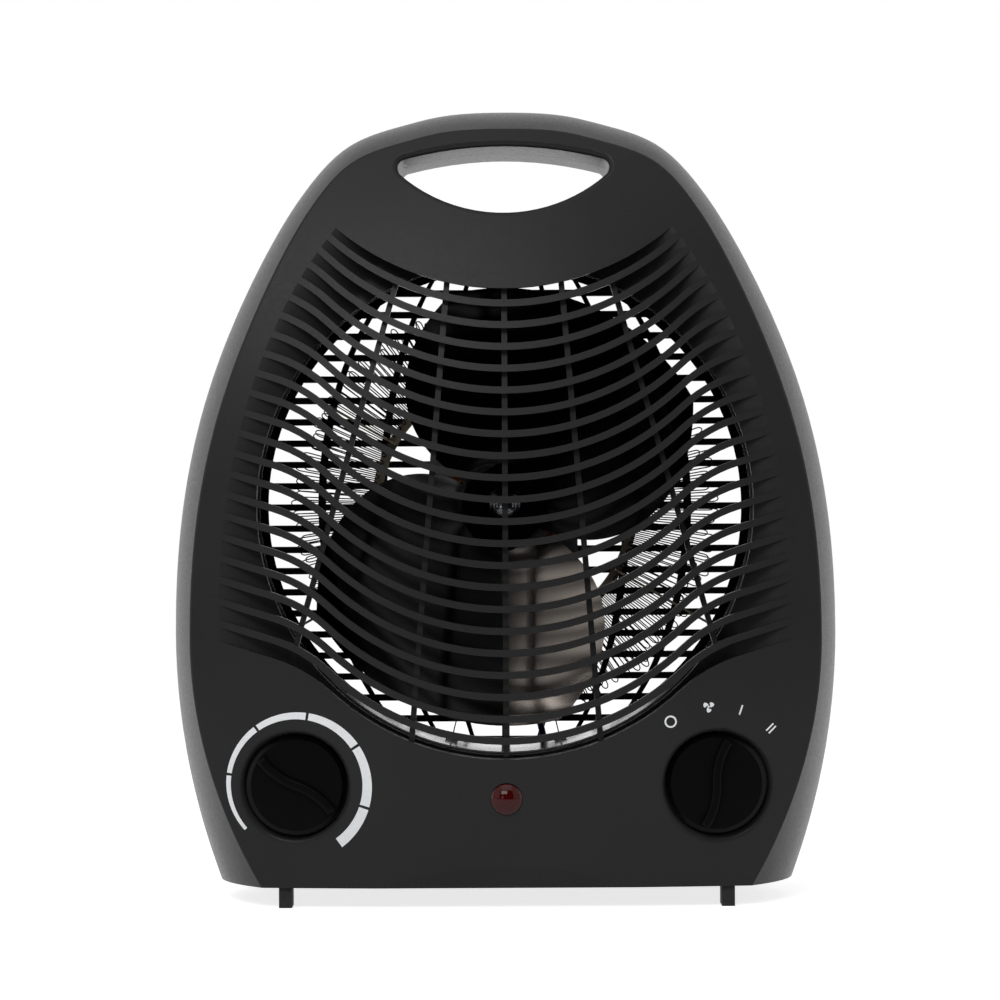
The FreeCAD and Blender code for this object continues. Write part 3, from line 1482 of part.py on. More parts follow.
def build_inlet():
    """The bush where a cord would enter, with a clamp behind it."""
    x = s.inlet_bush_x
    z = s.inlet_bush_height
    flange_out = inlet_seat_y + s.inlet_flange_thickness
    tail = flange_out - s.inlet_bush_length
    pad_in = inlet_seat_y - s.wall - s.slip_gap
    parts = [
        rod("inlet_flange", s.inlet_flange_radius, x, z, inlet_seat_y, flange_out),
        rod("inlet_barrel", s.inlet_bush_radius, x, z, tail, flange_out),
        taper("inlet_lock", s.inlet_bush_radius, s.inlet_lock_radius, x, z, tail, pad_in - s.seat_gap),
    ]
    bore = rod("inlet_bore", s.cord_bore_radius, x, z, tail, flange_out)
    node("cord_inlet_bush", less("inlet", joined("inlet_whole", parts), [bore]))
    width = s.clamp_half_width
    length = s.clamp_half_length
    plan = (x - length, x + length, s.clamp_y - width, s.clamp_y + width)
    bar = block("clamp_bar", *plan, z, z + s.clamp_height)
    saddle = rod("clamp_saddle", s.cord_bore_radius, x, z, s.clamp_y - width, s.clamp_y + width)
    holes = [saddle]
    screws = []
    top = z + s.clamp_height
    for side in (-1, 1):
        place_x = x + side * s.clamp_screw_x
        name = f"clamp_{side + 1}"
        holes.append(post(name + "_hole", s.screw_radius + s.slip_gap, place_x, s.clamp_y, z, top))
        head = post(name + "_head", s.screw_head_radius, place_x, s.clamp_y, top, top + s.screw_head_height)
        shank = post(name + "_shank", s.screw_radius, place_x, s.clamp_y, z - s.clamp_screw_length, top)
        screws.append(joined(name + "_screw", [head, shank]))
    node("cord_clamp", less("clamp", bar, holes))
    node("clamp_screws", group("clamp_screw_set", screws))


def build_terminal_block():
    x = s.block_x
    y = s.block_y
    floor = s.base_height + s.wall
    top = floor + s.block_height
    body = block("terminal_body", x - s.block_half_length, x + s.block_half_length, y - s.block_half_width,
                 y + s.block_half_width, floor, top)
    holes = []
    screws = []
    for index in (-1, 0, 1):
        place_x = x + index * s.block_pitch
        name = f"terminal_{index + 1}"
        sunk = top - s.block_screw_height * 2
        holes.append(post(name + "_well", s.block_screw_radius, place_x, y, sunk, top))
        screws.append(post(name + "_screw", s.block_screw_radius - s.slip_gap, place_x, y, sunk,
                           sunk + s.block_screw_height))
    node("terminal_block", less("terminals", body, holes))
    node("terminal_screws", group("terminal_screw_set", screws))


# Inner leads

TURN_SHARE = 0.45


def lead_tube(label, points):
    """A lead along straight runs that are joined by tangent arcs."""
    edges = []
    here = points[0]
    for index in range(1, len(points) - 1):
        corner = points[index]
        back = (points[index - 1] - corner).normalize()
        ahead = (points[index + 1] - corner).normalize()
        shorter = min((points[index - 1] - corner).Length, (points[index + 1] - corner).Length)
        tangent = TURN_SHARE * shorter
        turn = math.pi - back.getAngle(ahead)
        radius = tangent / math.tan(turn / 2)
        start = corner + back * tangent
        end = corner + ahead * tangent
        bisector = (back + ahead).normalize()
        reach = math.hypot(radius, tangent) - radius
        edges.append(line(here, start))
        edges.append(arc(start, corner + bisector * reach, end))
        here = end
    edges.append(line(here, points[-1]))
    way = edges[0].tangentAt(edges[0].FirstParameter)
    ring = Part.Wire(Part.Circle(points[0], way, float(s.lead_radius)).toShape())
    tube = Part.Wire(edges).makePipeShell([ring], True, False)
    length = sum(edge.Length for edge in edges)
    share = tube.Volume / (math.pi * float(s.lead_radius) ** 2 * length)
    print(label, "length", round(length), "volume share", round(share, 4))
    node(label, direct(label + "_tube", tube))


def wire_end(angle, y, reach):
    """A place on the line of a wire's end, outside the shield."""
    return Vector(float(reach) * math.cos(angle), float(y), float(fan_z) + float(reach) * math.sin(angle))


def build_leads(thermostat_rear, selector_rear):
    """The leads between the terminals, each straight for a short way where it leaves its terminal."""
    step = s.control_spade_offset
    stub = s.lead_stub
    z = s.knob_height
    thermostat_tip = thermostat_rear + s.spade_length
    selector_tip = selector_rear + s.spade_length
    block_front = s.block_y - s.block_half_width
    block_rear = s.block_y + s.block_half_width
    block_z = s.base_height + s.wall + s.block_height / 2
    live_end, neutral_end = end_angles
    out = s.wire_end_radius
    away = s.wire_end_radius + s.lead_stub

    def behind(x, tip, height):
        return [at(x, tip, height), at(x, tip + stub, height)]

    def before_block(x):
        return [at(x, block_front - stub, block_z), at(x, block_front, block_z)]

    def from_wire(angle, y):
        return [wire_end(angle, y, out), wire_end(angle, y, away)]

    def into_selector(x, height):
        return list(reversed(behind(x, selector_tip, height)))

    route = behind(step - s.knob_x, thermostat_tip, z + step)
    route += [Vector(-54, -1, 42), Vector(-46, 9, 28), Vector(-22, 8, 14)]
    route += [Vector(14, 6, 13), Vector(42, 4, 18)]
    lead_tube("lead_switched", route + into_selector(s.knob_x - step, z - step))
    route = behind(-s.knob_x - step, thermostat_tip, z - step)
    route += [Vector(-66, 4, 22), Vector(-44, 14, 14), Vector(-12, 16, 11.6), Vector(8, 19, 12.2)]
    lead_tube("lead_supply", route + before_block(s.block_x - s.block_pitch))
    route = from_wire(live_end, s.wire_front) + [Vector(30, 2, 30), Vector(48, 4, 36), Vector(57, 1, 44)]
    lead_tube("lead_heat_front", route + into_selector(s.knob_x - step, z + step))
    route = from_wire(live_end, s.wire_rear) + [Vector(32, 12, 28), Vector(54, 12, 30), Vector(70, 6, 41)]
    lead_tube("lead_heat_rear", route + into_selector(s.knob_x + step, z + step))
    route = from_wire(neutral_end, s.wire_front) + [Vector(-14, 6, 27), Vector(4, 12, 24), Vector(21, 17, 19)]
    lead_tube("lead_neutral_front", route + before_block(s.block_x))
    route = from_wire(neutral_end, s.wire_rear)
    route += [Vector(-10, 17, 31), Vector(10, 21, 27), Vector(30, 20, 20)]
    lead_tube("lead_neutral_rear", route + before_block(s.block_x + s.block_pitch))
    coil_y = stack_rear + s.bobbin_wall + s.coil_build - s.winding_inset
    route = behind(s.window_half_width / 2, coil_y, core_foot + s.core_height / 2)
    route += [Vector(10, 52, 60), Vector(16, 51, 36), Vector(22, 50, 20)]
    lead_tube("lead_motor", route + list(reversed(behind(s.block_x, block_rear, block_z))))


# The whole heater

build_covers()
build_foot("left_front_foot", -s.front_foot_x, -s.foot_y)
build_foot("right_front_foot", s.front_foot_x, -s.foot_y)
build_foot("left_rear_foot", -s.rear_foot_x, s.foot_y)
build_foot("right_rear_foot", s.rear_foot_x, s.foot_y)
build_housing_screws()
build_motor()
build_fan()
build_heat_shield()
build_element()
rear_of_thermostat = build_thermostat()
rear_of_selector = build_selector()
nuts = [build_nut(f"control_nut_{index}", x) for index, x in enumerate((-s.knob_x, s.knob_x))]
node("control_nuts", group("control_nut_set", nuts))
build_indicator()
build_inlet()
build_terminal_block()
build_leads(rear_of_thermostat, rear_of_selector)

doc.recompute()
for item in doc.Objects:
    if "Invalid" in item.State or "Error" in item.State:
        raise RuntimeError(f"{item.Label} could not be made: {item.State}")
for item in NODES:
    if item.Shape.isNull() or not item.Shape.isValid():
        raise RuntimeError(f"{item.Label} has no valid shape")
os.makedirs("parts", exist_ok=True)
for item in NODES:
    item.Shape.exportStep(f"parts/{item.Label}.step")
    print(item.Label, len(item.Shape.Solids), "solids", round(item.Shape.Volume), "cubic millimetres")
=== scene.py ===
import math
import random

import bpy
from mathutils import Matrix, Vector
from mathutils.bvhtree import BVHTree


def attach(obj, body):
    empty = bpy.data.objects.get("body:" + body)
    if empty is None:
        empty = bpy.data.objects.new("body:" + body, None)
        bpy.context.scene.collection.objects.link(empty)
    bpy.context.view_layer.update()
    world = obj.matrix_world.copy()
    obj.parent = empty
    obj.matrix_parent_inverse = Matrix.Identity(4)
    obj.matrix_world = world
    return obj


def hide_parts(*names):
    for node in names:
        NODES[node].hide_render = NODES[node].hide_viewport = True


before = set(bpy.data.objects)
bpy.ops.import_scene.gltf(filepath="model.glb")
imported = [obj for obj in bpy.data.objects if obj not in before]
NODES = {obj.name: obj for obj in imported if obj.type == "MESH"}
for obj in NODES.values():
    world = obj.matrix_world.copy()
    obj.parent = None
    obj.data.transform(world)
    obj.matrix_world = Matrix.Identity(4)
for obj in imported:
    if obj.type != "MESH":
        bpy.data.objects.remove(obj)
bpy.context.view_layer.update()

MM = 0.001

# Places shared with the solids, in millimetres
FAN_HEIGHT = 126.8
KNOB_X = 66.2
KNOB_HEIGHT = 39.4
THERMOSTAT_PLACE = (-KNOB_X, KNOB_HEIGHT)
SELECTOR_PLACE = (KNOB_X, KNOB_HEIGHT)


# Material helpers

class Look:
    """A procedural material whose parts are added one by one to its shader."""

    def __init__(self, name, colour, roughness, metallic=0.0, specular=0.5):
        self.material = bpy.data.materials.new(name)
        self.material.use_nodes = True
        tree = self.material.node_tree
        self.nodes = tree.nodes
        self.links = tree.links
        self.shader = self.nodes["Principled BSDF"]
        self.set("Base Color", (*colour, 1.0))
        self.set("Roughness", roughness)
        self.set("Metallic", metallic)
        self.set("Specular IOR Level", specular)
        self.coordinates = self.nodes.new("ShaderNodeTexCoord")
        self.normal = None

    def set(self, socket, value):
        self.shader.inputs[socket].default_value = value

    def stretched(self, scale):
        """Object coordinates stretched along the axes."""
        mapping = self.nodes.new("ShaderNodeMapping")
        mapping.inputs["Scale"].default_value = scale
        self.links.new(self.coordinates.outputs["Object"], mapping.inputs["Vector"])
        return mapping.outputs["Vector"]

    def noise(self, scale, detail=2.0, stretch=(1.0, 1.0, 1.0)):
        texture = self.nodes.new("ShaderNodeTexNoise")
        texture.inputs["Scale"].default_value = scale
        texture.inputs["Detail"].default_value = detail
        self.links.new(self.stretched(stretch), texture.inputs["Vector"])
        return texture.outputs["Fac"]

    def cells(self, scale):
        texture = self.nodes.new("ShaderNodeTexVoronoi")
        texture.inputs["Scale"].default_value = scale
        self.links.new(self.stretched((1.0, 1.0, 1.0)), texture.inputs["Vector"])
        return texture.outputs["Distance"]

    def stripes(self, scale, axis, distortion=0.0):
        texture = self.nodes.new("ShaderNodeTexWave")
        texture.bands_direction = axis
        texture.inputs["Scale"].default_value = scale
        texture.inputs["Distortion"].default_value = distortion
        self.links.new(self.stretched((1.0, 1.0, 1.0)), texture.inputs["Vector"])
        return texture.outputs["Fac"]

    def ramp(self, value, low, high, first, second):
        ramp = self.nodes.new("ShaderNodeValToRGB")
        ramp.color_ramp.elements[0].position = low
        ramp.color_ramp.elements[0].color = first
        ramp.color_ramp.elements[1].position = high
        ramp.color_ramp.elements[1].color = second
        self.links.new(value, ramp.inputs["Fac"])
        return ramp.outputs["Color"]

    def axes(self):
        """The object's own coordinates, one output for each axis."""
        split = self.nodes.new("ShaderNodeSeparateXYZ")
        self.links.new(self.coordinates.outputs["Object"], split.inputs["Vector"])
        return split.outputs

    def combine(self, operation, *values):
        """Outputs and plain numbers put together by one operation."""
        node = self.nodes.new("ShaderNodeMath")
        node.operation = operation
        for socket, value in zip(node.inputs, values):
            if isinstance(value, float):
                socket.default_value = value
            else:
                self.links.new(value, socket)
        return node.outputs[0]

    def spread(self, value, start, end, first=0.0, last=1.0):
        """A value that goes from first to last between start and end."""
        node = self.nodes.new("ShaderNodeMapRange")
        node.inputs["From Min"].default_value = start
        node.inputs["From Max"].default_value = end
        node.inputs["To Min"].default_value = first
        node.inputs["To Max"].default_value = last
        self.links.new(value, node.inputs["Value"])
        return node.outputs["Result"]

    def vary_colour(self, value, first, second, low=0.3, high=0.7):
        colour = self.ramp(value, low, high, (*first, 1.0), (*second, 1.0))
        self.links.new(colour, self.shader.inputs["Base Color"])

    def vary_roughness(self, value, smooth, rough, low=0.3, high=0.7):
        grey = self.ramp(value, low, high, (smooth, smooth, smooth, 1.0), (rough, rough, rough, 1.0))
        self.links.new(grey, self.shader.inputs["Roughness"])

    def bump(self, value, strength, distance):
        node = self.nodes.new("ShaderNodeBump")
        node.inputs["Strength"].default_value = strength
        node.inputs["Distance"].default_value = distance
        self.links.new(value, node.inputs["Height"])
        if self.normal is not None:
            self.links.new(self.normal, node.inputs["Normal"])
        self.normal = node.outputs["Normal"]
        self.links.new(self.normal, self.shader.inputs["Normal"])


# Materials

def casing_plastic():
    """Charcoal plastic with a fine spark grain and faint clouding."""
    look = Look("casing_plastic", (0.023, 0.023, 0.0238), 0.36, specular=0.08)
    look.vary_colour(look.noise(35.0, 3.0), (0.022, 0.022, 0.0228), (0.024, 0.024, 0.0248))
    look.vary_roughness(look.noise(900.0, 2.0), 0.27, 0.35)
    look.bump(look.noise(2600.0, 3.0), 0.07, 0.00006)
    look.bump(look.noise(160.0, 2.0), 0.03, 0.0002)
    return look.material


def knob_plastic():
    """Smooth black plastic with faint wipe marks."""
    look = Look("knob_plastic", (0.0014, 0.0014, 0.0015), 0.34, specular=0.05)
    look.vary_colour(look.noise(220.0, 3.0), (0.0012, 0.0012, 0.0013), (0.0017, 0.0017, 0.0018))
    look.vary_roughness(look.noise(500.0, 4.0), 0.3, 0.38)
    look.bump(look.noise(1800.0, 2.0), 0.08, 0.00005)
    return look.material


def foot_rubber():
    look = Look("foot_rubber", (0.018, 0.018, 0.019), 0.75, specular=0.25)
    look.vary_colour(look.noise(240.0, 3.0), (0.015, 0.015, 0.016), (0.022, 0.022, 0.023))
    look.vary_roughness(look.noise(700.0, 2.0), 0.68, 0.82)
    look.bump(look.noise(1500.0, 3.0), 0.2, 0.0001)
    return look.material


# Where the fan's paler patch, a painted reflection, lies, as x times the depth below the axis and as that
# depth, in metres
FAN_SHINE_SIDE_START = -0.00004
FAN_SHINE_SIDE_END = 0.00022
FAN_SHINE_TOP = 0.012
FAN_SHINE_FULL = 0.022


def fan_sheet():
    """Black pressed sheet with a paler patch on one blade, where the photograph shows a shine; the patch is a
    painted reflection that turns with the fan.
    """
    look = Look("fan_sheet", (0.2, 0.19, 0.18), 0.2, metallic=1.0)
    place = look.axes()
    below = look.combine("SUBTRACT", FAN_HEIGHT * MM, place["Z"])
    trailing = look.combine("MULTIPLY", place["X"], below)
    shine_side = look.spread(trailing, FAN_SHINE_SIDE_START, FAN_SHINE_SIDE_END)
    outer = look.spread(below, FAN_SHINE_TOP, FAN_SHINE_FULL)
    painted_shine = look.combine("MULTIPLY", shine_side, outer)
    # The paler colour is a painted reflection on one blade, not the sheet's own colour.
    look.vary_colour(painted_shine, (0.011, 0.0105, 0.0105), (0.155, 0.137, 0.123), 0.0, 1.0)
    look.vary_roughness(look.noise(40.0, 1.0), 0.17, 0.2)
    return look.material


# Where the shield's painted reflection and painted edge highlight lie, in metres
SHIELD_PAINTED_SHINE_TOP = 0.060
SHIELD_PAINTED_SHINE_GONE = 0.074
SHIELD_EDGE_GLINT_FRONT = -0.0384
SHIELD_EDGE_GLINT_BACK = -0.0382
SHIELD_UNEVEN = 0.012


def shield_sheet():
    """Black sheet with a painted reflection on its lowest part and a painted highlight along its front edge.
    """
    look = Look("shield_sheet", (0.5, 0.5, 0.51), 0.24, metallic=1.0, specular=0.0)
    place = look.axes()
    uneven = look.combine("MULTIPLY_ADD", look.noise(25.0, 3.0), SHIELD_UNEVEN, place["Z"])
    black = (0.0, 0.0, 0.0, 1.0)
    white = (1.0, 1.0, 1.0, 1.0)
    # The bright metal low on the shield is a painted reflection, and the bright band at the front edge is a
    # painted highlight; metallic follows the same mask.
    low = look.ramp(uneven, SHIELD_PAINTED_SHINE_TOP, SHIELD_PAINTED_SHINE_GONE, white, black)
    edge = look.spread(place["Y"], SHIELD_EDGE_GLINT_FRONT, SHIELD_EDGE_GLINT_BACK, 1.0, 0.0)
    painted_light = look.combine("MAXIMUM", low, edge)
    look.vary_colour(painted_light, (0.008, 0.008, 0.008), (0.55, 0.55, 0.56), 0.0, 1.0)
    look.links.new(painted_light, look.shader.inputs["Metallic"])
    look.vary_roughness(look.noise(60.0, 1.0), 0.1, 0.16)
    return look.material


def turned_metal(name, colour, smooth, rough):
    """Machined or plated metal with fine turning lines."""
    look = Look(name, colour, smooth, metallic=1.0)
    darker = tuple(part * 0.8 for part in colour)
    look.vary_colour(look.noise(300.0, 3.0), darker, colour)
    look.vary_roughness(look.noise(900.0, 3.0), smooth, rough)
    look.bump(look.noise(1600.0, 2.0), 0.06, 0.00005)
    return look.material


def steel_sheets():
    """Stacked steel sheets, seen as fine lines across the motor's axis."""
    look = Look("steel_sheets", (0.25, 0.25, 0.26), 0.42, metallic=1.0)
    look.vary_colour(look.noise(120.0, 3.0), (0.17, 0.17, 0.18), (0.3, 0.3, 0.31))
    look.vary_roughness(look.noise(400.0, 3.0), 0.35, 0.55)
    look.bump(look.stripes(320.0, "Y"), 0.35, 0.00012)
    return look.material


def varnished_winding():
    """Turns of varnished copper wire side by side."""
    look = Look("varnished_winding", (0.32, 0.1, 0.035), 0.28, metallic=0.8)
    look.vary_colour(look.noise(260.0, 3.0), (0.26, 0.075, 0.025), (0.38, 0.13, 0.045))
    look.vary_roughness(look.noise(500.0, 2.0), 0.22, 0.36)
    look.bump(look.stripes(330.0, "X", 0.4), 0.8, 0.0003)
    return look.material


def mica_board():
    """Pressed mica flakes, brownish silver."""
    look = Look("mica_board", (0.2, 0.16, 0.11), 0.4, specular=0.4)
    look.vary_colour(look.cells(420.0), (0.16, 0.125, 0.085), (0.26, 0.215, 0.155), 0.1, 0.6)
    look.vary_roughness(look.noise(350.0, 3.0), 0.3, 0.52)
    look.bump(look.cells(520.0), 0.15, 0.0001)
    return look.material


def resistance_wire():
    """Heating wire under a dull black oxide with warm patches."""
    look = Look("resistance_wire", (0.012, 0.011, 0.0105), 0.6, specular=0.1)
    look.vary_colour(look.noise(260.0, 3.0), (0.007, 0.0065, 0.0065), (0.02, 0.017, 0.015))
    look.vary_roughness(look.noise(900.0, 2.0), 0.5, 0.7)
    return look.material


def glazed_ceramic():
    look = Look("glazed_ceramic", (0.72, 0.7, 0.64), 0.22)
    look.vary_colour(look.noise(300.0, 3.0), (0.66, 0.63, 0.57), (0.76, 0.74, 0.69))
    look.vary_roughness(look.noise(500.0, 2.0), 0.16, 0.3)
    look.bump(look.noise(700.0, 2.0), 0.06, 0.0001)
    return look.material


def moulding(name, colour, smooth=0.4, rough=0.58):
    """Plain moulded plastic with slight flow clouds and a faint grain."""
    look = Look(name, colour, smooth, specular=0.4)
    darker = tuple(part * 0.82 for part in colour)
    look.vary_colour(look.noise(140.0, 3.0), darker, colour)
    look.vary_roughness(look.noise(500.0, 3.0), smooth, rough)
    look.bump(look.noise(1400.0, 2.0), 0.1, 0.00006)
    return look.material


def red_lens():
    """Deep red clear plastic."""
    look = Look("red_lens", (0.05, 0.0015, 0.0015), 0.08, specular=0.14)
    look.set("Transmission Weight", 0.12)
    look.vary_colour(look.noise(300.0, 2.0), (0.042, 0.0012, 0.0012), (0.06, 0.002, 0.002))
    look.bump(look.noise(500.0, 2.0), 0.03, 0.0001)
    return look.material


def lamp_glass():
    look = Look("lamp_glass", (0.9, 0.86, 0.82), 0.05)
    look.set("IOR", 1.5)
    look.set("Transmission Weight", 0.8)
    look.vary_roughness(look.noise(300.0, 2.0), 0.03, 0.12)
    return look.material


def white_print():
    """Screen printed ink, slightly uneven."""
    look = Look("white_print", (0.88, 0.9, 0.92), 0.6, specular=0.3)
    look.vary_colour(look.noise(900.0, 3.0), (0.85, 0.87, 0.89), (0.91, 0.93, 0.95))
    look.bump(look.noise(2500.0, 2.0), 0.1, 0.00004)
    return look.material


def dress_nodes():
    """Gives every solid its material."""
    casing = casing_plastic()
    knob = knob_plastic()
    screw = turned_metal("zinc_screw", (0.5, 0.5, 0.51), 0.3, 0.46)
    steel = turned_metal("ground_steel", (0.55, 0.55, 0.56), 0.2, 0.34)
    brass = turned_metal("bright_brass", (0.72, 0.52, 0.2), 0.24, 0.4)
    phenolic = moulding("dark_moulding", (0.035, 0.028, 0.024))
    sheets = steel_sheets()
    bracket = turned_metal("cast_bracket", (0.5, 0.5, 0.52), 0.4, 0.58)
    mica = mica_board()
    wire = resistance_wire()
    ceramic = glazed_ceramic()
    natural = moulding("natural_plastic", (0.6, 0.57, 0.5))
    brown = moulding("brown_insulation", (0.14, 0.05, 0.025))
    blue = moulding("blue_insulation", (0.03, 0.08, 0.26))
    pale = moulding("pale_insulation", (0.5, 0.49, 0.46))
    looks = {
        casing: ("front_cover", "rear_cover", "rear_grille"),
        knob: ("thermostat_knob", "selector_knob", "cord_inlet_bush"),
        foot_rubber(): tuple(name for name in NODES if name.endswith("_foot")),
        screw: ("housing_screws", "motor_screws", "shield_screws", "clamp_screws"),
        steel: ("motor_shaft", "thermostat_spindle", "selector_spindle"),
        brass: (
            "thermostat_bimetal", "thermostat_terminals", "selector_terminals",
            "control_nuts", "terminal_screws",
        ),
        phenolic: ("thermal_cutout", "thermostat_body", "selector_body", "cord_clamp", "terminal_block"),
        sheets: ("motor_stack", "motor_rotor"),
        bracket: ("motor_front_bracket", "motor_rear_bracket"),
        turned_metal("bare_copper", (0.66, 0.27, 0.12), 0.22, 0.36): ("shading_rings",),
        turned_metal("sintered_bronze", (0.5, 0.32, 0.14), 0.42, 0.6): ("motor_bushes",),
        varnished_winding(): ("motor_winding",),
        fan_sheet(): ("fan_impeller",),
        turned_metal("dark_plating", (0.16, 0.165, 0.18), 0.1, 0.18): ("fan_nut",),
        shield_sheet(): ("heat_shield",),
        mica: ("mica_arms", "mica_ring"),
        wire: ("heating_wire_front", "heating_wire_rear"),
        ceramic: ("wire_beads", "lamp_sleeve"),
        natural: ("motor_bobbin", "selector_cam"),
        red_lens(): ("indicator_lens",),
        lamp_glass(): ("neon_lamp",),
        brown: ("lead_switched", "lead_supply"),
        pale: ("lead_heat_front", "lead_heat_rear"),
        blue: ("lead_neutral_front", "lead_neutral_rear", "lead_motor"),
    }
    for material, names in looks.items():
        for name in names:
            mesh = NODES[name].data
            mesh.materials.clear()
            mesh.materials.append(material)
    return wire


# Heating wires

STROKES_PER_SECTOR = 36
SECTORS = 6
SKIPPED_STROKES = 7
WIRE_INNER = 43.3
WIRE_OUTER = 66.0
WIRE_END = 84.0
WIRE_BEAD = 74.0
WIRE_RADIUS = 0.23
WIRE_PLANES = {"front": 1.0, "rear": 9.0}
WIRE_SHIFT_SHARES = {"front": 0.0, "rear": 0.5}
END_TURN = 13.125
DOWN = 270.0
BEND_STEPS = 6
BEND_REACH_SHARE = 1.7
LOOP_SPREAD = 2.4
LOOP_SWAY = 0.5
LEAN_SHARE = 0.3
WIRE_SEED = 5


def wire_points(plane, chance):
    """The line of one heating wire: strokes in and out with uneven narrow bends and two straight ends."""
    y = WIRE_PLANES[plane]
    total = STROKES_PER_SECTOR * SECTORS
    step = 360.0 / total
    half = math.radians(step / 2)
    points = []

    def spot(radius, degrees, sway=0.0):
        angle = math.radians(degrees)
        return Vector((radius * math.cos(angle), y + sway, FAN_HEIGHT + radius * math.sin(angle))) * MM

    first_end = DOWN + END_TURN
    last_end = DOWN + 360.0 - END_TURN
    points.append(spot(WIRE_END, first_end))
    points.append(spot(WIRE_BEAD, first_end))
    for index in range(SKIPPED_STROKES, total - SKIPPED_STROKES - 1):
        inwards = (index - SKIPPED_STROKES) % 2 == 0
        uneven = 0.0 if inwards else chance.uniform(-LOOP_SPREAD, LOOP_SPREAD)
        lean = 0.0 if inwards else chance.uniform(-LEAN_SHARE, LEAN_SHARE)
        sway = chance.uniform(-LOOP_SWAY, LOOP_SWAY)
        reach = (WIRE_INNER if inwards else WIRE_OUTER) + uneven
        angle = DOWN + (index + 0.5 + lean + WIRE_SHIFT_SHARES[plane]) * step
        bend = reach * math.sin(half) * BEND_REACH_SHARE
        for turn in range(BEND_STEPS + 1):
            around = math.pi * turn / BEND_STEPS
            out = -math.sin(around) if inwards else math.sin(around)
            radius = reach * math.cos(half) + bend * out
            points.append(spot(radius, angle + step * (1 - math.cos(around)) / 2, sway))
    points.append(spot(WIRE_BEAD, last_end))
    points.append(spot(WIRE_END, last_end))
    return points


def make_wire(plane, material, chance):
    curve = bpy.data.curves.new("heating_wire_" + plane + "_fine", "CURVE")
    curve.dimensions = "3D"
    curve.bevel_depth = WIRE_RADIUS * MM
    curve.bevel_resolution = 1
    curve.use_fill_caps = True
    points = wire_points(plane, chance)
    spline = curve.splines.new("POLY")
    spline.points.add(len(points) - 1)
    for point, place in zip(spline.points, points):
        point.co = (*place, 1.0)
    curve.materials.append(material)
    piece = bpy.data.objects.new("fine_wire_" + plane, curve)
    bpy.context.collection.objects.link(piece)
    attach(piece, "housing")
    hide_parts("heating_wire_" + plane)


# Printed marks on the panel

PRINT_LIFT = 0.06
SCALE_INNER = 20.9
SCALE_THIN_OUTER = 22.0
SCALE_THICK_OUTER = 24.3
SCALE_START = 220.8
SCALE_END = -54.0
SCALE_BREAKS = (171.0, 125.0, 80.8, 33.0, -18.0)
SCALE_BREAK_HALF = 1.1
SCALE_STEP = 3.0
MARK_RADIUS = 24.4
OFF_ANGLE = 126.4
FAN_ANGLE = 95.8
LOW_ANGLE = 71.4
HIGH_ANGLE = 44.7
RING_OUTER = 1.95
RING_INNER = 1.4
BAR_LENGTH = 3.2
BAR_WIDTH = 0.5
BAR_GAP = 1.15
BAR_SHARES = (-0.5, -0.25, 0.0, 0.25, 0.5)
EDGE_SHARES = (-0.5, 0.5)
LOBE_COUNT = 3
LOBE_REACH = 1.85
LOBE_STEPS = 8
LOBE_SWEEP = 42.0
LOBE_WIDTH = 78.0
LOBE_ROOT_SHARE = 0.24
LOBE_START_SHARE = 0.16
LOBE_SPAN_SHARE = 0.78
DOT_INNER = 0.05
DOT_SHARE = 0.18
DOT_STEPS = 16
SIGHT_START = -0.2


def panel_finder():
    """A function that gives the front of the panel at a place."""
    mesh = NODES["front_cover"].data
    corners = [vertex.co.copy() for vertex in mesh.vertices]
    faces = [tuple(polygon.vertices) for polygon in mesh.polygons]
    tree = BVHTree.FromPolygons(corners, faces)

    def find(x, z):
        hit = tree.ray_cast(Vector((x * MM, SIGHT_START, z * MM)), Vector((0, 1, 0)))
        return hit[0] + Vector((0, -PRINT_LIFT * MM, 0))

    return find


def printed(name, strips, ink, find):
    """One printed mark made of strips, each a row of pairs of places on the panel."""
    vertices = []
    faces = []
    for strip in strips:
        first = len(vertices)
        for pair in strip:
            for x, z in pair:
                vertices.append(find(x, z))
        for index in range(len(strip) - 1):
            a = first + index * 2
            faces.append((a, a + 1, a + 3, a + 2))
    mesh = bpy.data.meshes.new(name)
    mesh.from_pydata(vertices, [], faces)
    mesh.update()
    mesh.materials.append(ink)
    piece = bpy.data.objects.new(name, mesh)
    bpy.context.collection.objects.link(piece)
    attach(piece, "housing")


def polar(middle, radius, degrees):
    angle = math.radians(degrees)
    return (middle[0] + radius * math.cos(angle), middle[1] + radius * math.sin(angle))


def scale_strips():
    """The thermostat's scale: a band that grows wider as it goes round, with breaks."""
    edges = [SCALE_START]
    for angle in SCALE_BREAKS:
        edges += [angle + SCALE_BREAK_HALF, angle - SCALE_BREAK_HALF]
    edges.append(SCALE_END)
    strips = []
    for start, end in zip(edges[0::2], edges[1::2]):
        count = max(2, round((start - end) / SCALE_STEP))
        strip = []
        for index in range(count + 1):
            angle = start + (end - start) * index / count
            share = (SCALE_START - angle) / (SCALE_START - SCALE_END)
            outer = SCALE_THIN_OUTER + (SCALE_THICK_OUTER - SCALE_THIN_OUTER) * share
            strip.append((polar(THERMOSTAT_PLACE, SCALE_INNER, angle), polar(THERMOSTAT_PLACE, outer, angle)))
        strips.append(strip)
    return strips


def ring_strip(middle, inner, outer, count=28):
    strip = []
    for index in range(count + 1):
        angle = 360.0 * index / count
        strip.append((polar(middle, inner, angle), polar(middle, outer, angle)))
    return [strip]


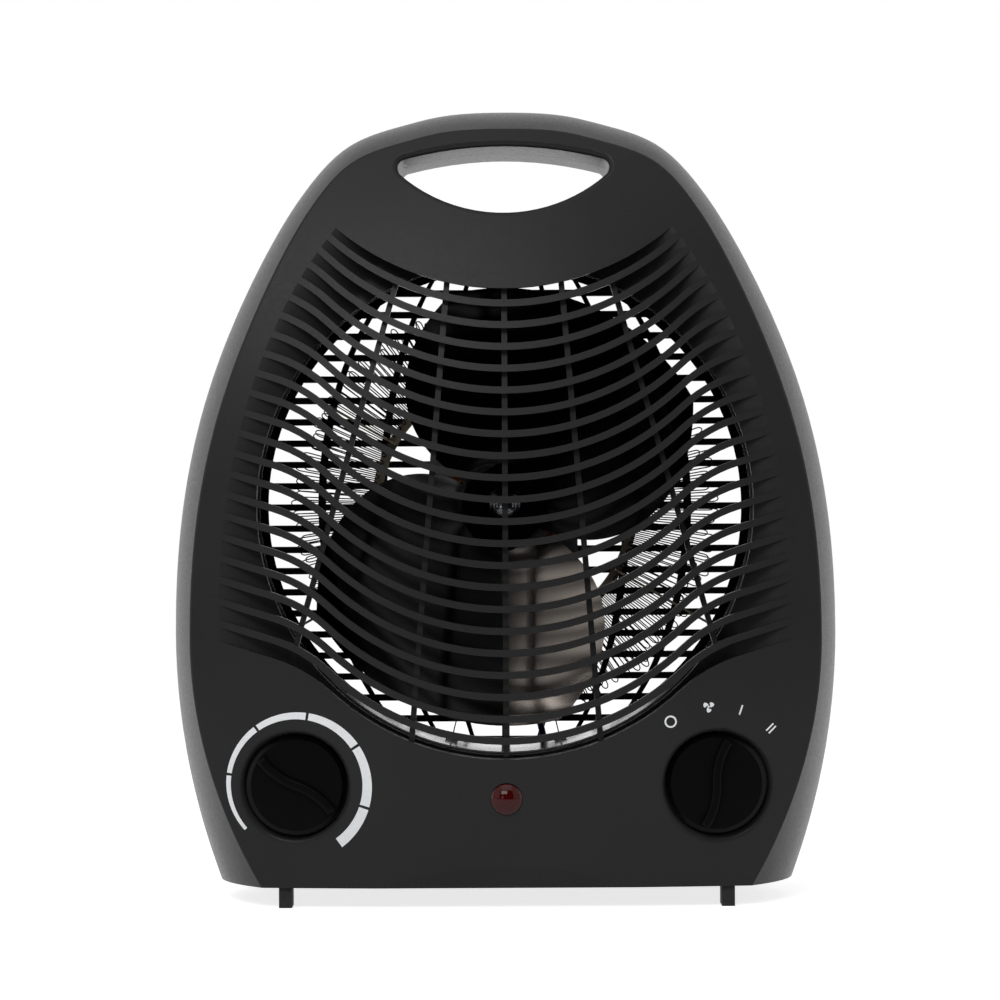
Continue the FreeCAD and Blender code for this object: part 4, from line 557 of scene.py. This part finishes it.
def bar_strips(angle, count):
    """Bars side by side that point away from the selector."""
    outwards = math.radians(angle)
    along = (math.cos(outwards), math.sin(outwards))
    across = (-along[1], along[0])
    middle = polar(SELECTOR_PLACE, MARK_RADIUS, angle)
    strips = []
    for index in range(count):
        side = (index - (count - 1) / 2) * BAR_GAP
        strip = []
        for share in BAR_SHARES:
            pair = []
            for edge in EDGE_SHARES:
                wide = side + edge * BAR_WIDTH
                long = share * BAR_LENGTH
                pair.append((middle[0] + along[0] * long + across[0] * wide,
                             middle[1] + along[1] * long + across[1] * wide))
            strip.append(tuple(pair))
        strips.append(strip)
    return strips


def fan_sign_strips():
    """A small generic fan sign: three swept blades round a middle dot."""
    middle = polar(SELECTOR_PLACE, MARK_RADIUS, FAN_ANGLE)
    strips = ring_strip(middle, DOT_INNER, LOBE_REACH * DOT_SHARE, DOT_STEPS)
    for lobe in range(LOBE_COUNT):
        base = 360.0 * lobe / LOBE_COUNT + FAN_ANGLE
        strip = []
        for index in range(LOBE_STEPS + 1):
            share = index / LOBE_STEPS
            radius = LOBE_REACH * (LOBE_ROOT_SHARE + (1 - LOBE_ROOT_SHARE) * share)
            lead = base + LOBE_SWEEP * share
            width = LOBE_WIDTH * math.sin(math.pi * (LOBE_START_SHARE + LOBE_SPAN_SHARE * share))
            strip.append((polar(middle, radius, lead), polar(middle, radius, lead + width)))
        strips.append(strip)
    return strips


def make_print():
    ink = white_print()
    find = panel_finder()
    printed("thermostat_scale", scale_strips(), ink, find)
    off_middle = polar(SELECTOR_PLACE, MARK_RADIUS, OFF_ANGLE)
    printed("selector_off_mark", ring_strip(off_middle, RING_INNER, RING_OUTER), ink, find)
    printed("selector_fan_mark", fan_sign_strips(), ink, find)
    printed("selector_low_mark", bar_strips(LOW_ANGLE, 1), ink, find)
    printed("selector_high_mark", bar_strips(HIGH_ANGLE, 2), ink, find)


# Floor, light and camera, in metres, watts and degrees

FLOOR_SIZE = 8.0
FLOOR_GREY = 0.86
FLOOR_ROUGHNESS = 0.9
FLOOR_SPECULAR = 0.1
FLOOR_GLOW = 0.78
SKY_SEEN = 0.76
SKY_LIGHT = 0.24
CARD_GREY = 0.02
CARD_ROUGHNESS = 0.9
# Each card's width, length, place and tilt
DARK_CARDS = {
    "dark_wall_card": (3.6, 3.6, (0.0, -2.4, 0.5), math.pi / 2),
    "dark_floor_card": (3.6, 1.9, (0.0, -1.45, 0.004), 0.0),
}
LIGHT_TARGET = (0.0, 0.0, 0.12)
# Each lamp's place, width, height and power
LAMPS = {
    "top_softbox": ((0.0, -0.55, 1.1), 1.0, 0.7, 2.0),
    "left_strip": ((-1.0, -0.1, 0.35), 0.35, 1.0, 1.5),
    "right_strip": ((1.0, -0.1, 0.35), 0.35, 1.0, 1.2),
    "high_fill": ((-0.35, -1.45, 0.95), 0.9, 0.5, 10.5),
    "low_left_card": ((-0.5, -1.33, 0.2), 0.22, 0.35, 0.5),
}
CAMERA_PLACE = (-0.0016, -1.555, 0.129)
CAMERA_ROLL = 0.28
CAMERA_LENS = 171.7
CAMERA_SENSOR = 36.0


def make_floor():
    """A plain pale floor that keeps the heater's shadow."""
    bpy.ops.mesh.primitive_plane_add(size=FLOOR_SIZE, location=(0, 0, 0))
    floor = bpy.context.object
    floor.name = "floor"
    material = bpy.data.materials.new("pale_floor")
    material.use_nodes = True
    nodes = material.node_tree.nodes
    links = material.node_tree.links
    shader = nodes["Principled BSDF"]
    shader.inputs["Base Color"].default_value = (FLOOR_GREY, FLOOR_GREY, FLOOR_GREY, 1.0)
    shader.inputs["Roughness"].default_value = FLOOR_ROUGHNESS
    shader.inputs["Specular IOR Level"].default_value = FLOOR_SPECULAR
    shader.inputs["Emission Color"].default_value = (1.0, 1.0, 1.0, 1.0)
    seen = seen_rays(nodes, links)
    strength = nodes.new("ShaderNodeMath")
    strength.operation = "MULTIPLY"
    strength.inputs[1].default_value = FLOOR_GLOW
    links.new(seen, strength.inputs[0])
    links.new(strength.outputs[0], shader.inputs["Emission Strength"])
    floor.data.materials.append(material)


def seen_rays(nodes, links):
    """One for rays that show the background: camera, glossy and transmission rays."""
    path = nodes.new("ShaderNodeLightPath")
    total = path.outputs["Is Camera Ray"]
    for name in ("Is Glossy Ray", "Is Transmission Ray"):
        larger = nodes.new("ShaderNodeMath")
        larger.operation = "MAXIMUM"
        links.new(total, larger.inputs[0])
        links.new(path.outputs[name], larger.inputs[1])
        total = larger.outputs[0]
    return total


def make_world():
    world = bpy.data.worlds.new("studio")
    bpy.context.scene.world = world
    world.use_nodes = True
    nodes = world.node_tree.nodes
    links = world.node_tree.links
    background = nodes["Background"]
    background.inputs["Color"].default_value = (1.0, 1.0, 1.0, 1.0)
    seen = seen_rays(nodes, links)
    strength = nodes.new("ShaderNodeMath")
    strength.operation = "MULTIPLY_ADD"
    strength.inputs[1].default_value = SKY_SEEN
    strength.inputs[2].default_value = SKY_LIGHT
    links.new(seen, strength.inputs[0])
    links.new(strength.outputs[0], background.inputs["Strength"])


def dark_card(name, width, length, place, tilt):
    """A dark card out of sight that only shiny surfaces mirror."""
    bpy.ops.mesh.primitive_plane_add(size=1.0, location=place, rotation=(tilt, 0, 0))
    card = bpy.context.object
    card.name = name
    card.scale = (width, length, 1.0)
    card.visible_camera = False
    card.visible_diffuse = False
    card.visible_shadow = False
    material = bpy.data.materials.new(name)
    material.use_nodes = True
    shader = material.node_tree.nodes["Principled BSDF"]
    shader.inputs["Base Color"].default_value = (CARD_GREY, CARD_GREY, CARD_GREY, 1.0)
    shader.inputs["Roughness"].default_value = CARD_ROUGHNESS
    card.data.materials.append(material)


def add_light(name, place, target, width, height, power):
    light = bpy.data.lights.new(name, "AREA")
    light.shape = "RECTANGLE"
    light.size = width
    light.size_y = height
    light.energy = power
    lamp = bpy.data.objects.new(name, light)
    lamp.location = place
    lamp.rotation_euler = (Vector(target) - Vector(place)).to_track_quat("-Z", "Y").to_euler()
    bpy.context.collection.objects.link(lamp)


def make_lights():
    for name, (place, width, height, power) in LAMPS.items():
        add_light(name, place, LIGHT_TARGET, width, height, power)


def make_camera():
    data = bpy.data.cameras.new("camera")
    data.sensor_width = CAMERA_SENSOR
    data.lens = CAMERA_LENS
    camera = bpy.data.objects.new("camera", data)
    camera.location = CAMERA_PLACE
    camera.rotation_euler = (math.pi / 2, math.radians(CAMERA_ROLL), 0.0)
    bpy.context.collection.objects.link(camera)
    bpy.context.scene.camera = camera


wire_material = dress_nodes()
wire_chance = random.Random(WIRE_SEED)
for plane_name in WIRE_PLANES:
    make_wire(plane_name, wire_material, wire_chance)
make_print()
make_floor()
make_world()
for card_name, card_sizes in DARK_CARDS.items():
    dark_card(card_name, *card_sizes)
make_lights()
make_camera()
bpy.context.scene.view_settings.view_transform = "Standard"
